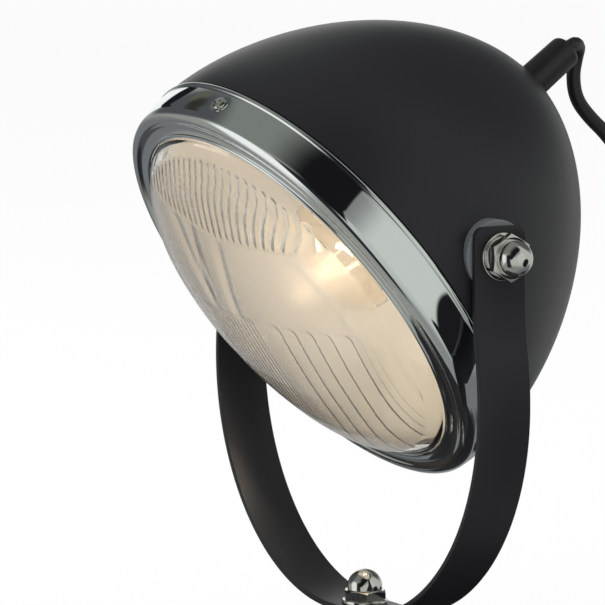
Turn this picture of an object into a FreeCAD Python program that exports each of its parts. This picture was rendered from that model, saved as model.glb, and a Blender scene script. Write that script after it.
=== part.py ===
import FreeCAD
import Part
import math
import os

from FreeCAD import Vector

# Tabletop searchlight: a round lamp head on two side pivots in a U-shaped yoke,
# which swivels on a weighted round base.  Millimetres, +Z up.
# The origin is the middle of the underside, the tilt axis runs along X and the glass faces -Y.
# Head pieces are drawn upright, with the lamp axis along +Z and the tilt axis along X,
# and are then laid over to the aim that the lamp has at rest.

# ---- aim, pivots and fits
head_aim = 36.2              # degrees that the glass looks below the horizontal at rest
pivot_rise = 131.0           # from the middle of the yoke's bottom strap up to the tilt axis
running_gap = 0.05           # radial gap of a hole that turns on its bolt
seat_gap = 0.1               # gap round pieces that are put into one another
thread_gap = 0.02            # radial gap of a screwed pair

# ---- M8 hardware
bolt_radius = 4.0
bolt_head_flats = 13.0
bolt_head_height = 5.3
washer_radius = 8.0
washer_thickness = 1.6
spring_washer_radius = 6.8
spring_washer_thickness = 2.0
spring_washer_split = 1.2
nut_flats = 14.0
nut_hex_height = 3.4
nut_dome_radius = 6.1
nut_dome_collar = 1.2        # straight stretch between the hexagon and the dome
nut_thread_past_hex = 3.0    # depth of the thread above the hexagon

# ---- base
base_radius = 90.0
pad_inset = 4.0              # from the cover's edge in to the pad's
pad_thickness = 2.0
base_plate_thickness = 2.0
base_cover_height = 18.0
base_cover_wall = 1.2
base_edge_radius = 5.0
weight_radius = 70.0
weight_recess_radius = 9.0
plate_screw_count = 3
plate_screw_circle = 45.0
plate_screw_radius = 2.0
plate_screw_head_radius = 4.0
plate_screw_length = 10.0
collar_radius = 15.0
collar_height = 16.0
glide_radius = 13.0
glide_thickness = 1.0

# ---- yoke, one bent strap
strap_width = 20.0
strap_thickness = 2.0
strap_past_pivot = 9.9       # from the tilt axis up to the strap's end
strap_corner_radius = 3.5
yoke_leg_gap = 0.1           # from the rim's edge out to the legs' inner faces
yoke_bulge = 3.4             # how much further out the bowl is at its widest than the legs
yoke_flat_half = 7.5         # half of the flat under the lower nut's washer
yoke_bowl_drop = 51.0        # from the tilt axis down to the widest place
yoke_bend_drop = 13.0        # from the tilt axis down to the end of the straight leg

# ---- lamp shell, a round body whose outline is (radius/R)^n + (depth/L)^n = 1
shell_under_rim = 0.6        # how much smaller its widest section is than the rim's rear edge
shell_widest_ahead = 1.2     # from the rim's rear edge forward to the widest section
shell_length = 104.0         # from the widest section back to the outline's tip
shell_fullness = 1.77        # the exponent n
shell_wall = 1.0
shell_flange_gap = 0.3       # between its stepped flange and the rim that slides over it
shell_flange_length = 7.7
shell_seat_radius = 8.0      # flat at the tip, where the bush sits
shell_ring_radius = 14.25    # pressed ring round the bush
shell_ring_section = 0.8
pivot_spacer_radius = 12.0
pivot_saddle_radius = 10.0
pivot_saddle_depth = 4.6     # from the shell's inner wall to the bolt head's seat

# ---- rim
rim_radius = 82.4
rim_rear = 19.6              # place of its rear edge in front of the tilt axis
rim_depth = 16.0
rim_sheet = 0.8
rim_face_reach = 12.2        # from its outer edge in to the opening
rim_roll_radius = 1.0        # rolled rear edge
rim_roll_stand = 0.7         # how far the roll stands out of the band
rim_roll_gap = 0.2           # groove between the roll and the band
rim_band_camber = 0.1
rim_band_fall = 0.5          # how far the band's front edge turns in
rim_shoulder = 2.4           # from the band in to the front bead
rim_shoulder_rise = 1.2      # the shoulder's steep stretch under the bead
rim_bead_width = 2.6
rim_bead_height = 0.75
rim_bead_crown = 0.1
rim_bead_wall = 0.3          # slope of the bead's inner side
rim_lip_crown = 0.6          # how far the lip's round edge stands forward
rim_face_sink = 1.1          # the inner face lies this far behind the lip
rim_lip_width = 1.5
rim_screw_turn = 13.0        # degrees from the top of the rim
rim_screw_place = 6.9        # from the rim's rear edge
rim_screw_radius = 1.5
rim_screw_head_radius = 2.5
rim_screw_head_height = 1.3
rim_clip_length = 12.0
rim_clip_width = 6.5
rim_clip_thickness = 2.5

# ---- glass, gasket and reflector
lens_gap = 0.3               # round the glass in the rim's opening
lens_thickness = 3.5
lens_crown_radius = 300.0
lens_edge_radius = 33.0
lens_edge_slope = 50.0       # degrees, where the dome meets the rim's lip
lens_edge_inset = 0.1        # the dome's edge lies this far behind the lip's front
lens_flange_cover = 5.8      # how far the glass reaches out behind the rim's lip
lens_flange_thickness = 3.2
gasket_width = 5.5
gasket_thickness = 1.5
reflector_sheet = 1.0
reflector_flange_width = 6.5
reflector_depth = 50.3       # from its mouth back to the tip of the bowl's parabola
reflector_floor_margin = 2.0 # of its flat floor round the lampholder's ring
clip_count = 4
clip_width = 10.0
clip_sheet = 0.8
clip_reach = 3.5             # how far a clip reaches in over the reflector's flange
clip_leg = 2.2
clip_first_turn = 45.0       # degrees from the tilt axis

# ---- lampholder and bulb (E27)
holder_wall = 5.4
holder_length = 44.0
holder_shoulder_width = 4.6
holder_shoulder_thickness = 4.0
holder_ring_width = 5.6
holder_ring_thickness = 3.0
holder_floor_thickness = 8.0
liner_gap = 0.2              # between the bulb's cap and the liner
liner_sheet = 0.5
bulb_globe_radius = 22.5
bulb_neck_step = 0.3         # from the cap in to the glass neck
bulb_neck_length = 3.0
bulb_glass_wall = 0.8
bulb_cap_radius = 13.3
bulb_cap_length = 23.0
bulb_cap_wall = 0.4
bulb_contact_radius = 5.0
bulb_contact_height = 2.5
filament_radius = 0.8
filament_span = 16.0
filament_leg_radius = 0.4
filament_stem_radius = 3.2
filament_stem_rise = 4.0     # above the cap

# ---- rear bush and the leads inside the head
cord_radius = 2.6
bush_radius = 6.25
bush_tip_radius = 5.9
bush_lip_radius = 2.4        # rounding of its outer end
bush_length = 22.4           # outside the shell
bush_flange_inset = 0.5      # from the edge of the shell's flat tip in to the bush's flange
bush_flange_thickness = 2.5
bush_inner_length = 6.0      # inside the shell
bush_wall_at_hole = 1.25     # from the bush's outside in to the shell's hole
cord_grip_radius = 6.0
cord_grip_length = 5.0
wire_radius = 1.0
wire_pitch = 1.3             # of the two wires from the cord's middle, inside the sheath
terminal_reach = 8.0         # of the lampholder's terminals from its middle

# ---- mains cord on the table
coil_centre = (-40.0, 180.0)
coil_radius = 30.0           # at the middle of the turns
coil_columns = 3
coil_rows = 2
coil_tie_width = 6.0
coil_tie_sheet = 0.7
coil_tie_gap = 0.3
coil_tie_turn = 35.0         # degrees from +X, seen from above

# ---- switch on the cord
switch_centre = (44.0, 148.0)
switch_length = 64.0
switch_width = 24.0
switch_height = 17.0
switch_split = 8.5           # height of the joint between its halves
switch_wall = 2.0
switch_corner_radius = 5.0
switch_edge_radius = 1.5
switch_cord_height = 7.5
rocker_length = 18.0
rocker_width = 11.0
rocker_gap = 0.5
rocker_axis_sink = 4.0       # below the switch's top
rocker_pin_radius = 1.2
rocker_pin_length = 1.5
rocker_tilt = 8.0            # degrees, at rest with its lamp end up
rocker_depth = 4.0
rocker_rise = 3.2            # of its two ends above the axis
switch_screw_radius = 1.5
switch_screw_head_radius = 2.8
switch_screw_inset = 9.0

# ---- plug
plug_front = (6.0, 239.0)    # middle of the pin face
plug_length = 38.0
plug_width = 34.0
plug_height = 13.6
plug_waist = 12.0            # width where the cord goes in
plug_edge_radius = 2.5
pin_radius = 2.0
pin_length = 19.0
pin_pitch = 19.0

# ---- heights and places that follow from the sizes above
pad_top = pad_thickness
pad_radius = base_radius - pad_inset
cover_top = pad_top + base_cover_height
strap_bottom = cover_top + collar_height + glide_thickness
strap_top = strap_bottom + strap_thickness
pivot_height = strap_bottom + strap_thickness / 2 + pivot_rise
strap_inner_face = rim_radius + yoke_leg_gap
strap_outer_face = strap_inner_face + strap_thickness
yoke_leg_reach = strap_inner_face + strap_thickness / 2
yoke_bowl_reach = yoke_leg_reach + yoke_bulge
rim_band_radius = rim_radius - rim_roll_stand
rim_opening_radius = rim_radius - rim_face_reach
rim_front = rim_rear + rim_depth
shell_radius = rim_radius - shell_under_rim
shell_widest = rim_rear + shell_widest_ahead
shell_flange_radius = rim_band_radius - rim_sheet - shell_flange_gap
rim_back_of_lip = rim_front - rim_face_sink - rim_sheet
lens_flange_radius = rim_opening_radius + lens_flange_cover
lens_flange_front = rim_back_of_lip - seat_gap
lens_flange_back = lens_flange_front - lens_flange_thickness
reflector_front = lens_flange_back - gasket_thickness
liner_radius = bulb_cap_radius + liner_gap + liner_sheet
holder_radius = liner_radius + holder_wall
holder_ring_radius = holder_radius + holder_ring_width
holder_shoulder_radius = holder_radius + holder_shoulder_width
bulb_neck_radius = bulb_cap_radius - bulb_neck_step
reflector_mouth_radius = lens_flange_radius - reflector_flange_width
reflector_floor_radius = holder_ring_radius + reflector_floor_margin
reflector_focus = reflector_mouth_radius ** 2 / (4 * reflector_depth)
reflector_tip = reflector_front - reflector_depth
reflector_floor = reflector_tip + reflector_floor_radius ** 2 / (4 * reflector_focus)
holder_front = reflector_floor + holder_ring_thickness
holder_back = holder_front - holder_length
bush_flange_radius = shell_seat_radius - bush_flange_inset
bush_hole_radius = bush_radius - bush_wall_at_hole
rocker_axis_height = switch_height - rocker_axis_sink
coil_bottom = coil_tie_sheet + coil_tie_gap
coil_half_width = coil_columns * cord_radius
coil_height = 2 * coil_rows * cord_radius

# The cord's route from the bush to the switch, from the switch to the coil,
# and from the coil to the plug.
cord_to_switch = [
    (0.0, 84.5, 230.9), (0.0, 86.6, 232.4), (-1.4, 90.9, 233.9), (-4.5, 94.1, 232.4),
    (-7.6, 94.6, 228.9), (-8.2, 92.2, 220.0), (-8.0, 93.6, 212.0), (-7.8, 99.2, 205.4),
    (-7.5, 107.2, 198.6), (-6.5, 115.5, 187.5), (-5.0, 123.0, 171.0), (-3.0, 129.5, 149.0),
    (-1.0, 134.0, 121.0), (1.0, 136.5, 91.0), (3.0, 139.5, 60.0), (4.5, 146.0, 34.0),
    (7.5, 157.5, 14.0), (13.5, 175.0, 3.8), (22.0, 197.0, 2.7), (35.0, 219.0, 2.7),
    (56.0, 232.0, 2.7), (84.0, 233.0, 2.7), (109.0, 221.0, 2.7), (124.0, 198.0, 2.7),
    (124.0, 172.0, 2.7), (110.0, 154.0, 3.4), (93.0, 148.6, 6.2), (76.0, 148.0, 7.5),
]
cord_to_coil = [
    (12.0, 148.0, 7.5), (3.0, 147.8, 6.9), (-8.0, 146.4, 4.8), (-19.0, 145.1, 3.7), (-29.0, 144.8, 3.6),
]
cord_to_plug = [
    (-44.0, 144.8, 8.8), (-54.0, 144.9, 8.1), (-65.0, 147.4, 5.6), (-76.0, 154.0, 3.2),
    (-84.5, 164.5, 2.7), (-88.5, 178.0, 2.8), (-88.0, 193.0, 2.7), (-83.5, 207.5, 2.8),
    (-74.5, 220.5, 2.7), (-62.0, 230.5, 3.4), (-47.5, 237.0, 5.3), (-32.1, 239.0, 6.8),
]


# ------------------------------------------------------------------ tools
def flat(point):
    """A point of an outline, given as (across, up), in the X-Z plane."""
    return Vector(point[0], 0, point[1])


def on_circle(centre, radius, degrees):
    turn = math.radians(degrees)
    return (centre[0] + radius * math.cos(turn), centre[1] + radius * math.sin(turn))


def outline(start, *steps):
    """A closed flat face: a step is a point, [middle, end] of an arc, or a list that a curve follows."""
    edges = []
    here = start
    for step in steps + (start,):
        if isinstance(step, tuple):
            if step != here:
                edges.append(Part.makeLine(flat(here), flat(step)))
            here = step
        elif len(step) == 2:
            edges.append(Part.Arc(flat(here), flat(step[0]), flat(step[1])).toShape())
            here = step[1]
        else:
            curve = Part.BSplineCurve()
            curve.interpolate([flat(point) for point in [here] + step])
            edges.append(curve.toShape())
            here = step[-1]
    return Part.Face(Part.Wire(edges))


def turned(face):
    """The round solid that an outline sweeps about the Z axis."""
    return face.revolve(Vector(0, 0, 0), Vector(0, 0, 1), 360)


def disc(radius, bottom, top, hole=0.0):
    solid = Part.makeCylinder(radius, top - bottom, Vector(0, 0, bottom))
    if hole > 0:
        solid = solid.cut(Part.makeCylinder(hole, top - bottom, Vector(0, 0, bottom)))
    return solid


def rod(radius, start, end):
    """A round bar between two points."""
    way = Vector(*end) - Vector(*start)
    return Part.makeCylinder(radius, way.Length, Vector(*start), way)


def hexagon(flats, bottom, top):
    corner = flats / 2 / math.cos(math.radians(30))
    corners = [on_circle((0, 0), corner, 60 * step) for step in range(7)]
    face = Part.Face(Part.makePolygon([Vector(x, y, bottom) for x, y in corners]))
    return face.extrude(Vector(0, 0, top - bottom))


def block(low, high):
    return Part.makeBox(high[0] - low[0], high[1] - low[1], high[2] - low[2], Vector(*low))


def around_axis(shape, degrees):
    turned_copy = shape.copy()
    turned_copy.rotate(Vector(0, 0, 0), Vector(0, 0, 1), degrees)
    return turned_copy


def rounded_edges(solid, radius, wanted):
    """The solid with the edges that the test picks rounded."""
    return solid.makeFillet(radius, [edge for edge in solid.Edges if wanted(edge)])


def in_head(shape):
    """A head piece at its place: the lamp axis laid over to the rest aim, at the pivot's height."""
    placed = shape.copy()
    placed.rotate(Vector(0, 0, 0), Vector(1, 0, 0), 90 + head_aim)
    placed.translate(Vector(0, 0, pivot_height))
    return placed


def onto_side(shape, side):
    """A piece drawn up the Z axis, laid along the tilt axis on the side +1 or -1, in the head's frame."""
    laid = shape.copy()
    laid.rotate(Vector(0, 0, 0), Vector(0, 1, 0), 90 * side)
    return laid


def both_sides(shape):
    return Part.makeCompound([onto_side(shape, 1), onto_side(shape, -1)])


def tube(points, radius):
    """A cord along straight runs joined by tangent arcs, and the arcs' radii and the path's length."""
    corners = [Vector(*point) for point in points]
    edges = []
    radii = []
    here = corners[0]
    for before, corner, after in zip(corners, corners[1:], corners[2:]):
        run_in = corner - before
        run_out = after - corner
        way_in = Vector(run_in).normalize()
        way_out = Vector(run_out).normalize()
        half_turn = way_in.getAngle(way_out) / 2
        reach = 0.45 * min(run_in.Length, run_out.Length)
        bend = reach / math.tan(half_turn)
        inward = (way_out - way_in).normalize()
        start = corner - way_in * reach
        middle = corner + inward * (math.hypot(reach, bend) - bend)
        end = corner + way_out * reach
        edges.append(Part.makeLine(here, start))
        edges.append(Part.Arc(start, middle, end).toShape())
        radii.append(bend)
        here = end
    edges.append(Part.makeLine(here, corners[-1]))
    path = Part.Wire(edges)
    section = Part.Wire(Part.makeCircle(radius, corners[0], corners[1] - corners[0]))
    return path.makePipeShell([section], True, False), radii, path.Length


# ------------------------------------------------------------------ M8 hardware, drawn up the Z axis
def flat_washer(bottom):
    return disc(washer_radius, bottom, bottom + washer_thickness, bolt_radius + seat_gap)


def spring_washer(bottom):
    top = bottom + spring_washer_thickness
    ring = disc(spring_washer_radius, bottom, top, bolt_radius + seat_gap)
    half = spring_washer_split / 2
    return ring.cut(block((-2 * spring_washer_radius, -half, bottom), (0, half, top)))


def dome_nut(bottom):
    hex_top = bottom + nut_hex_height
    dome_start = hex_top + nut_dome_collar
    dome = turned(outline(
        (0, hex_top), (nut_dome_radius, hex_top), (nut_dome_radius, dome_start),
        [on_circle((0, dome_start), nut_dome_radius, 45), (0, dome_start + nut_dome_radius)]))
    thread = disc(bolt_radius + thread_gap, bottom, hex_top + nut_thread_past_hex)
    return hexagon(nut_flats, bottom, hex_top).fuse(dome).cut(thread)


def bolt(seat, tip):
    """A hexagon-headed bolt whose head bears at the seat and whose shank ends at the tip."""
    head = hexagon(bolt_head_flats, seat - bolt_head_height, seat)
    return head.fuse(disc(bolt_radius, seat, tip))


def nut_thread_end(nut_bottom):
    return nut_bottom + nut_hex_height + nut_thread_past_hex - 2 * seat_gap


# ------------------------------------------------------------------ base
def base_cover():
    outer = base_radius
    edge = base_edge_radius
    wall = base_cover_wall
    hole = bolt_radius + seat_gap
    centre = (outer - edge, cover_top - edge)
    return turned(outline(
        (outer, pad_top), (outer, cover_top - edge),
        [on_circle(centre, edge, 45), (outer - edge, cover_top)],
        (hole, cover_top), (hole, cover_top - wall), (outer - edge, cover_top - wall),
        [on_circle(centre, edge - wall, 45), (outer - wall, cover_top - edge)],
        (outer - wall, pad_top)))


def base_plate():
    plate = disc(base_radius - base_cover_wall - seat_gap, pad_top, pad_top + base_plate_thickness)
    return plate.cut(plate_screws(seat_gap / 2))


def base_weight():
    bottom = pad_top + base_plate_thickness
    recess_top = bottom + bolt_head_height
    weight = disc(weight_radius, bottom, cover_top - base_cover_wall, bolt_radius + seat_gap)
    weight = weight.cut(disc(weight_recess_radius, bottom, recess_top))
    return weight.cut(plate_screws(thread_gap))


def plate_screws(gap=0.0):
    """The countersunk screws under the base, or with a gap, the holes that they need."""
    neck = plate_screw_radius + gap
    screw = turned(outline(
        (0, pad_top), (plate_screw_head_radius + gap, pad_top),
        (neck, pad_top + base_plate_thickness), (neck, pad_top + plate_screw_length + gap),
        (0, pad_top + plate_screw_length + gap)))
    screw.translate(Vector(plate_screw_circle, 0, 0))
    return Part.makeCompound([
        around_axis(screw, 360 * index / plate_screw_count) for index in range(plate_screw_count)])


def base_pad():
    return disc(pad_radius, 0, pad_top)


def swivel_collar():
    return disc(collar_radius, cover_top, cover_top + collar_height, bolt_radius + seat_gap)


def swivel_glide_washer():
    return disc(glide_radius, cover_top + collar_height, strap_bottom, bolt_radius + seat_gap)


def swivel_bolt():
    seat = pad_top + base_plate_thickness + bolt_head_height
    return bolt(seat, nut_thread_end(strap_top + washer_thickness))


def swivel_flat_washer():
    return flat_washer(strap_top)


def swivel_dome_nut():
    return around_axis(dome_nut(strap_top + washer_thickness), 90)


# ------------------------------------------------------------------ yoke
def yoke_line(offset):
    """One side's places along a face of the strap: its end, two opposite bends, and the bowl."""
    leg = yoke_leg_reach + offset
    across = yoke_bowl_reach + offset
    down = pivot_rise - yoke_bowl_drop + offset
    bowl_middle = pivot_height - yoke_bowl_drop
    bend_height = pivot_height - yoke_bend_drop
    drop = bend_height - bowl_middle
    lean = 2 * math.degrees(math.atan2(yoke_bulge, drop))
    bend = drop / 2 / math.sin(math.radians(lean))
    outside = (yoke_leg_reach + bend, bend_height)
    inside = (yoke_bowl_reach - bend, bowl_middle)
    first = [on_circle(outside, bend - offset, 180 + turn) for turn in (lean / 2, lean)]
    second = [on_circle(inside, bend + offset, lean / 2), (across, bowl_middle)]
    bowl = []
    for step in range(1, 11):
        turn = math.radians(-9 * step)
        bowl.append((yoke_flat_half + (across - yoke_flat_half) * math.cos(turn),
                     bowl_middle + down * math.sin(turn)))
    return (leg, pivot_height + strap_past_pivot), (leg, bend_height), first, second, bowl


def yoke_strap():
    end, start, first, second, bowl = yoke_line(strap_thickness / 2)
    end_in, start_in, first_in, second_in, bowl_in = yoke_line(-strap_thickness / 2)
    side = outline(
        end, start, first, second, bowl, (0, bowl[-1][1]), (0, bowl_in[-1][1]), bowl_in[-1],
        bowl_in[-2::-1] + [second_in[1]], [second_in[0], first_in[1]], [first_in[0], start_in], end_in)
    half = side.extrude(Vector(0, strap_width, 0))
    half.translate(Vector(0, -strap_width / 2, 0))
    strap = half.fuse(half.mirror(Vector(0, 0, 0), Vector(1, 0, 0))).removeSplitter()
    top = pivot_height + strap_past_pivot
    strap = rounded_edges(strap, strap_corner_radius, lambda edge: (
        edge.BoundBox.ZMin > top - 0.01 and edge.BoundBox.YLength < 0.01))
    hole = bolt_radius + running_gap
    reach = yoke_bowl_reach + strap_thickness
    strap = strap.cut(rod(hole, (-reach, 0, pivot_height), (reach, 0, pivot_height)))
    return strap.cut(rod(hole, (0, 0, strap_bottom - 1), (0, 0, strap_top + 1)))


# ------------------------------------------------------------------ head: shell and pivots
def shell_depth_at(radius, inset=0.0):
    """Place of the shell's outline along the lamp axis, at a radius behind the widest section."""
    share = 1 - (radius / (shell_radius - inset)) ** shell_fullness
    return shell_widest - (shell_length - inset) * share ** (1 / shell_fullness)


def shell_radius_at(place, inset=0.0):
    share = 1 - ((shell_widest - place) / (shell_length - inset)) ** shell_fullness
    return (shell_radius - inset) * share ** (1 / shell_fullness)


def shell_curve(front, inset=0.0):
    """Points of the outline from a place near the widest section back to the flat at the tip."""
    full = shell_radius - inset
    first = math.acos((shell_radius_at(front, inset) / full) ** (shell_fullness / 2))
    last = math.acos((shell_seat_radius / full) ** (shell_fullness / 2))
    points = []
    for step in range(13):
        turn = first + (last - first) * step / 12
        radius = full * math.cos(turn) ** (2 / shell_fullness)
        points.append((radius, shell_depth_at(radius, inset)))
    return points


def lamp_shell():
    step = rim_rear - lens_gap
    flange_inner = shell_flange_radius - shell_wall
    outer = shell_curve(step)
    inner = shell_curve(step - shell_wall, shell_wall)
    shell = turned(outline(
        outer[0], outer[1:], (bush_hole_radius, outer[-1][1]), (bush_hole_radius, inner[-1][1]), inner[-1],
        inner[-2::-1], (flange_inner, step - shell_wall), (flange_inner, step + shell_flange_length),
        (shell_flange_radius, step + shell_flange_length), (shell_flange_radius, step)))
    ring_place = shell_depth_at(shell_ring_radius) + shell_ring_section / 4
    shell = shell.fuse(Part.makeTorus(shell_ring_radius, shell_ring_section, Vector(0, 0, ring_place)))
    hole = bolt_radius + seat_gap
    shell = shell.cut(rod(hole, (-rim_radius, 0, 0), (rim_radius, 0, 0)))
    return shell.cut(rim_screw_hole(rim_screw_radius + seat_gap))


def shell_filled(inset=0.0):
    """The solid inside the shell's outer wall, or with an inset, inside its inner wall."""
    curve = shell_curve(rim_rear - lens_gap - inset, inset)
    return turned(outline((0, curve[0][1]), curve[0], curve[1:], (0, curve[-1][1])))


def pivot_spacers():
    """Discs between the shell and the yoke, hollowed to the shell's round outside."""
    spacer = disc(pivot_spacer_radius, 0, strap_inner_face, bolt_radius + seat_gap)
    return both_sides(spacer).cut(shell_filled())


def pivot_saddles():
    """Blocks inside the shell that carry the bolt heads, rounded to its inner wall."""
    flat_side = shell_radius_at(0, shell_wall) - pivot_saddle_depth
    saddle = disc(pivot_saddle_radius, flat_side, shell_radius, bolt_radius + seat_gap)
    return both_sides(saddle).common(shell_filled(shell_wall))


def pivot_bolts():
    seat = shell_radius_at(0, shell_wall) - pivot_saddle_depth
    return both_sides(bolt(seat, nut_thread_end(pivot_nut_bottom())))


def pivot_flat_washers():
    return both_sides(flat_washer(strap_outer_face))


def pivot_spring_washers():
    return both_sides(spring_washer(strap_outer_face + washer_thickness))


def pivot_nut_bottom():
    return strap_outer_face + washer_thickness + spring_washer_thickness


def pivot_dome_nuts():
    return both_sides(dome_nut(pivot_nut_bottom()))


# ------------------------------------------------------------------ head: rim
def rim_bezel():
    band = rim_band_radius
    front_edge = band - rim_band_fall
    roll_centre = (rim_radius - rim_roll_radius, rim_rear + rim_roll_radius)
    band_start = rim_rear + 2 * rim_roll_radius + rim_roll_gap
    bead_outer = front_edge - rim_shoulder + 2 * rim_band_fall
    bead_inner = bead_outer - rim_bead_width
    bead_foot = rim_front - rim_bead_height
    shoulder_top = bead_foot - rim_shoulder_rise
    band_end = shoulder_top - rim_shoulder + rim_bead_crown
    face_edge = bead_inner - rim_bead_wall
    face = rim_front - rim_face_sink
    lip = rim_opening_radius + rim_lip_width
    lip_foot = rim_front - rim_lip_crown
    ring = turned(outline(
        (band - rim_sheet, rim_rear + rim_sheet / 2), (rim_radius - rim_roll_radius, rim_rear),
        [on_circle(roll_centre, rim_roll_radius, 0), on_circle(roll_centre, rim_roll_radius, 60)],
        (band, band_start), [(band + rim_band_camber, (band_start + band_end) / 2), (front_edge, band_end)],
        [(front_edge - rim_shoulder / 5, band_end + rim_shoulder / 2), (bead_outer, shoulder_top)],
        [(bead_outer - rim_bead_width / 2.4, bead_foot + rim_bead_crown),
         (bead_inner, bead_foot + rim_bead_crown / 2)],
        (face_edge, face), [((bead_inner + lip) / 2, face - rim_bead_crown / 2), (lip, lip_foot)],
        [(rim_opening_radius + rim_lip_width / 2, rim_front), (rim_opening_radius, lip_foot)],
        (rim_opening_radius, lip_foot - rim_sheet), (lip, rim_back_of_lip), (face_edge, rim_back_of_lip),
        (bead_outer - rim_sheet, shoulder_top - rim_sheet), (front_edge - rim_sheet, band_end),
        (band - rim_sheet, band_end - rim_sheet)))
    return ring.cut(rim_screw_hole(rim_screw_radius + seat_gap))


def on_rim(shape):
    """A piece drawn up the Z axis, laid outwards along the rim screw's line."""
    laid = shape.copy()
    laid.rotate(Vector(0, 0, 0), Vector(1, 0, 0), -90)
    laid.rotate(Vector(0, 0, 0), Vector(0, 0, 1), -rim_screw_turn)
    laid.translate(Vector(0, 0, rim_rear + rim_screw_place))
    return laid


def rim_screw_hole(radius):
    return on_rim(disc(radius, shell_flange_radius - 2 * rim_clip_thickness, rim_radius + 1))


def rim_screw():
    seat = rim_band_radius + 2 * seat_gap
    top = seat + rim_screw_head_height
    rise = rim_screw_head_height * 0.6
    head = turned(outline(
        (0, seat), (rim_screw_head_radius, seat), (rim_screw_head_radius, top - rise),
        [(rim_screw_head_radius * 0.6, top - rise * 0.3), (0, top)]))
    slot = rim_screw_head_radius * 0.6
    for length, width in ((slot, 0.35), (0.35, slot)):
        head = head.cut(block((-length, -width, top - 0.8), (length, width, top + 1)))
    tip = shell_flange_radius - shell_wall - rim_clip_thickness
    return on_rim(head.fuse(disc(rim_screw_radius, tip, seat)))


def rim_clip():
    """A threaded steel block on the inside of the shell's flange, curved to it."""
    inner_wall = shell_flange_radius - shell_wall
    low = inner_wall - rim_clip_thickness
    half = rim_clip_length / 2
    plate = on_rim(block((-half, -rim_clip_width / 2, low), (half, rim_clip_width / 2, inner_wall + 1)))
    plate = plate.common(disc(inner_wall, 0, rim_front))
    return plate.cut(rim_screw_hole(rim_screw_radius + thread_gap))


# ------------------------------------------------------------------ head: glass and reflector
def lens_glass():
    rim_edge = rim_opening_radius - lens_gap
    edge_place = rim_front - lens_edge_inset
    slope = math.radians(lens_edge_slope)
    arc_middle = (rim_edge - lens_edge_radius * math.sin(slope),
                  edge_place - lens_edge_radius * math.cos(slope))
    spread = lens_crown_radius - lens_edge_radius
    crown_turn = math.asin(arc_middle[0] / spread)
    crown_middle = (0, arc_middle[1] - spread * math.cos(crown_turn))
    join = 90 - math.degrees(crown_turn)
    end = 90 - lens_edge_slope

    def dome(inset):
        """Crown, middle of the crown, join, middle of the edge arc and edge of one glass face."""
        crown = lens_crown_radius - inset
        edge = lens_edge_radius - inset
        return (on_circle(crown_middle, crown, 90), on_circle(crown_middle, crown, (90 + join) / 2),
                on_circle(crown_middle, crown, join), on_circle(arc_middle, edge, (join + end) / 2),
                on_circle(arc_middle, edge, end))

    out = dome(0)
    into = dome(lens_thickness)
    return turned(outline(
        out[0], [out[1], out[2]], [out[3], out[4]], (rim_edge, lens_flange_front),
        (lens_flange_radius, lens_flange_front), (lens_flange_radius, lens_flange_back),
        (into[4][0], lens_flange_back), into[4], [into[3], into[2]], [into[1], into[0]]))


def lens_gasket():
    return disc(lens_flange_radius, reflector_front, lens_flange_back, lens_flange_radius - gasket_width)


def reflector_bowl_points(sink):
    """The parabola from its mouth to its flat floor, moved back by the sheet for its outside."""
    points = []
    for step in range(9):
        radius = reflector_mouth_radius + (reflector_floor_radius - reflector_mouth_radius) * step / 8
        points.append((radius, reflector_tip + radius ** 2 / (4 * reflector_focus) - sink))
    return points


def reflector():
    face = reflector_bowl_points(0)
    back = reflector_bowl_points(reflector_sheet)
    hole = holder_radius + seat_gap
    flange = lens_flange_radius
    return turned(outline(
        (flange, reflector_front), face[0], face[1:], (hole, reflector_floor),
        (hole, reflector_floor - reflector_sheet), back[-1], back[-2::-1],
        (flange, reflector_front - reflector_sheet)))


def reflector_clips():
    """Bent spring clips that hold the reflector, gasket and glass up against the rim."""
    back = reflector_front - reflector_sheet
    outside = rim_band_radius - rim_sheet - seat_gap
    inside = lens_flange_radius - clip_reach
    half = clip_width / 2
    shelf = block((inside, -half, back - clip_sheet), (outside, half, back))
    leg = block((outside - clip_sheet - 1, -half, back), (outside, half, back + clip_leg))
    clip = shelf.fuse(leg).common(disc(outside, back - clip_sheet, back + clip_leg))
    clip = clip.cut(disc(outside - clip_sheet, back, back + clip_leg))
    return Part.makeCompound([
        around_axis(clip, clip_first_turn + 360 * index / clip_count) for index in range(clip_count)])


# ------------------------------------------------------------------ head: lampholder and bulb
def lampholder_body():
    shoulder_front = reflector_floor - reflector_sheet
    shoulder_back = shoulder_front - holder_shoulder_thickness
    body = disc(holder_radius, holder_back, holder_front)
    body = body.fuse(disc(holder_shoulder_radius, shoulder_back, shoulder_front, holder_radius - 1))
    return body.cut(disc(liner_radius + seat_gap, holder_back + holder_floor_thickness, holder_front))


def lampholder_ring():
    return disc(holder_ring_radius, reflector_floor, holder_front, holder_radius + thread_gap)


def lampholder_liner():
    bottom = holder_back + holder_floor_thickness
    top = holder_front - holder_ring_thickness
    return disc(liner_radius, bottom, top, liner_radius - liner_sheet)


def bulb_places():
    """Places along the axis: globe's middle, neck's end and cap's end."""
    globe = holder_front + 1 + math.sqrt(bulb_globe_radius ** 2 - bulb_neck_radius ** 2)
    neck_start = holder_front + 1
    cap_start = neck_start - bulb_neck_length
    return globe, neck_start, cap_start, cap_start - bulb_cap_length


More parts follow.
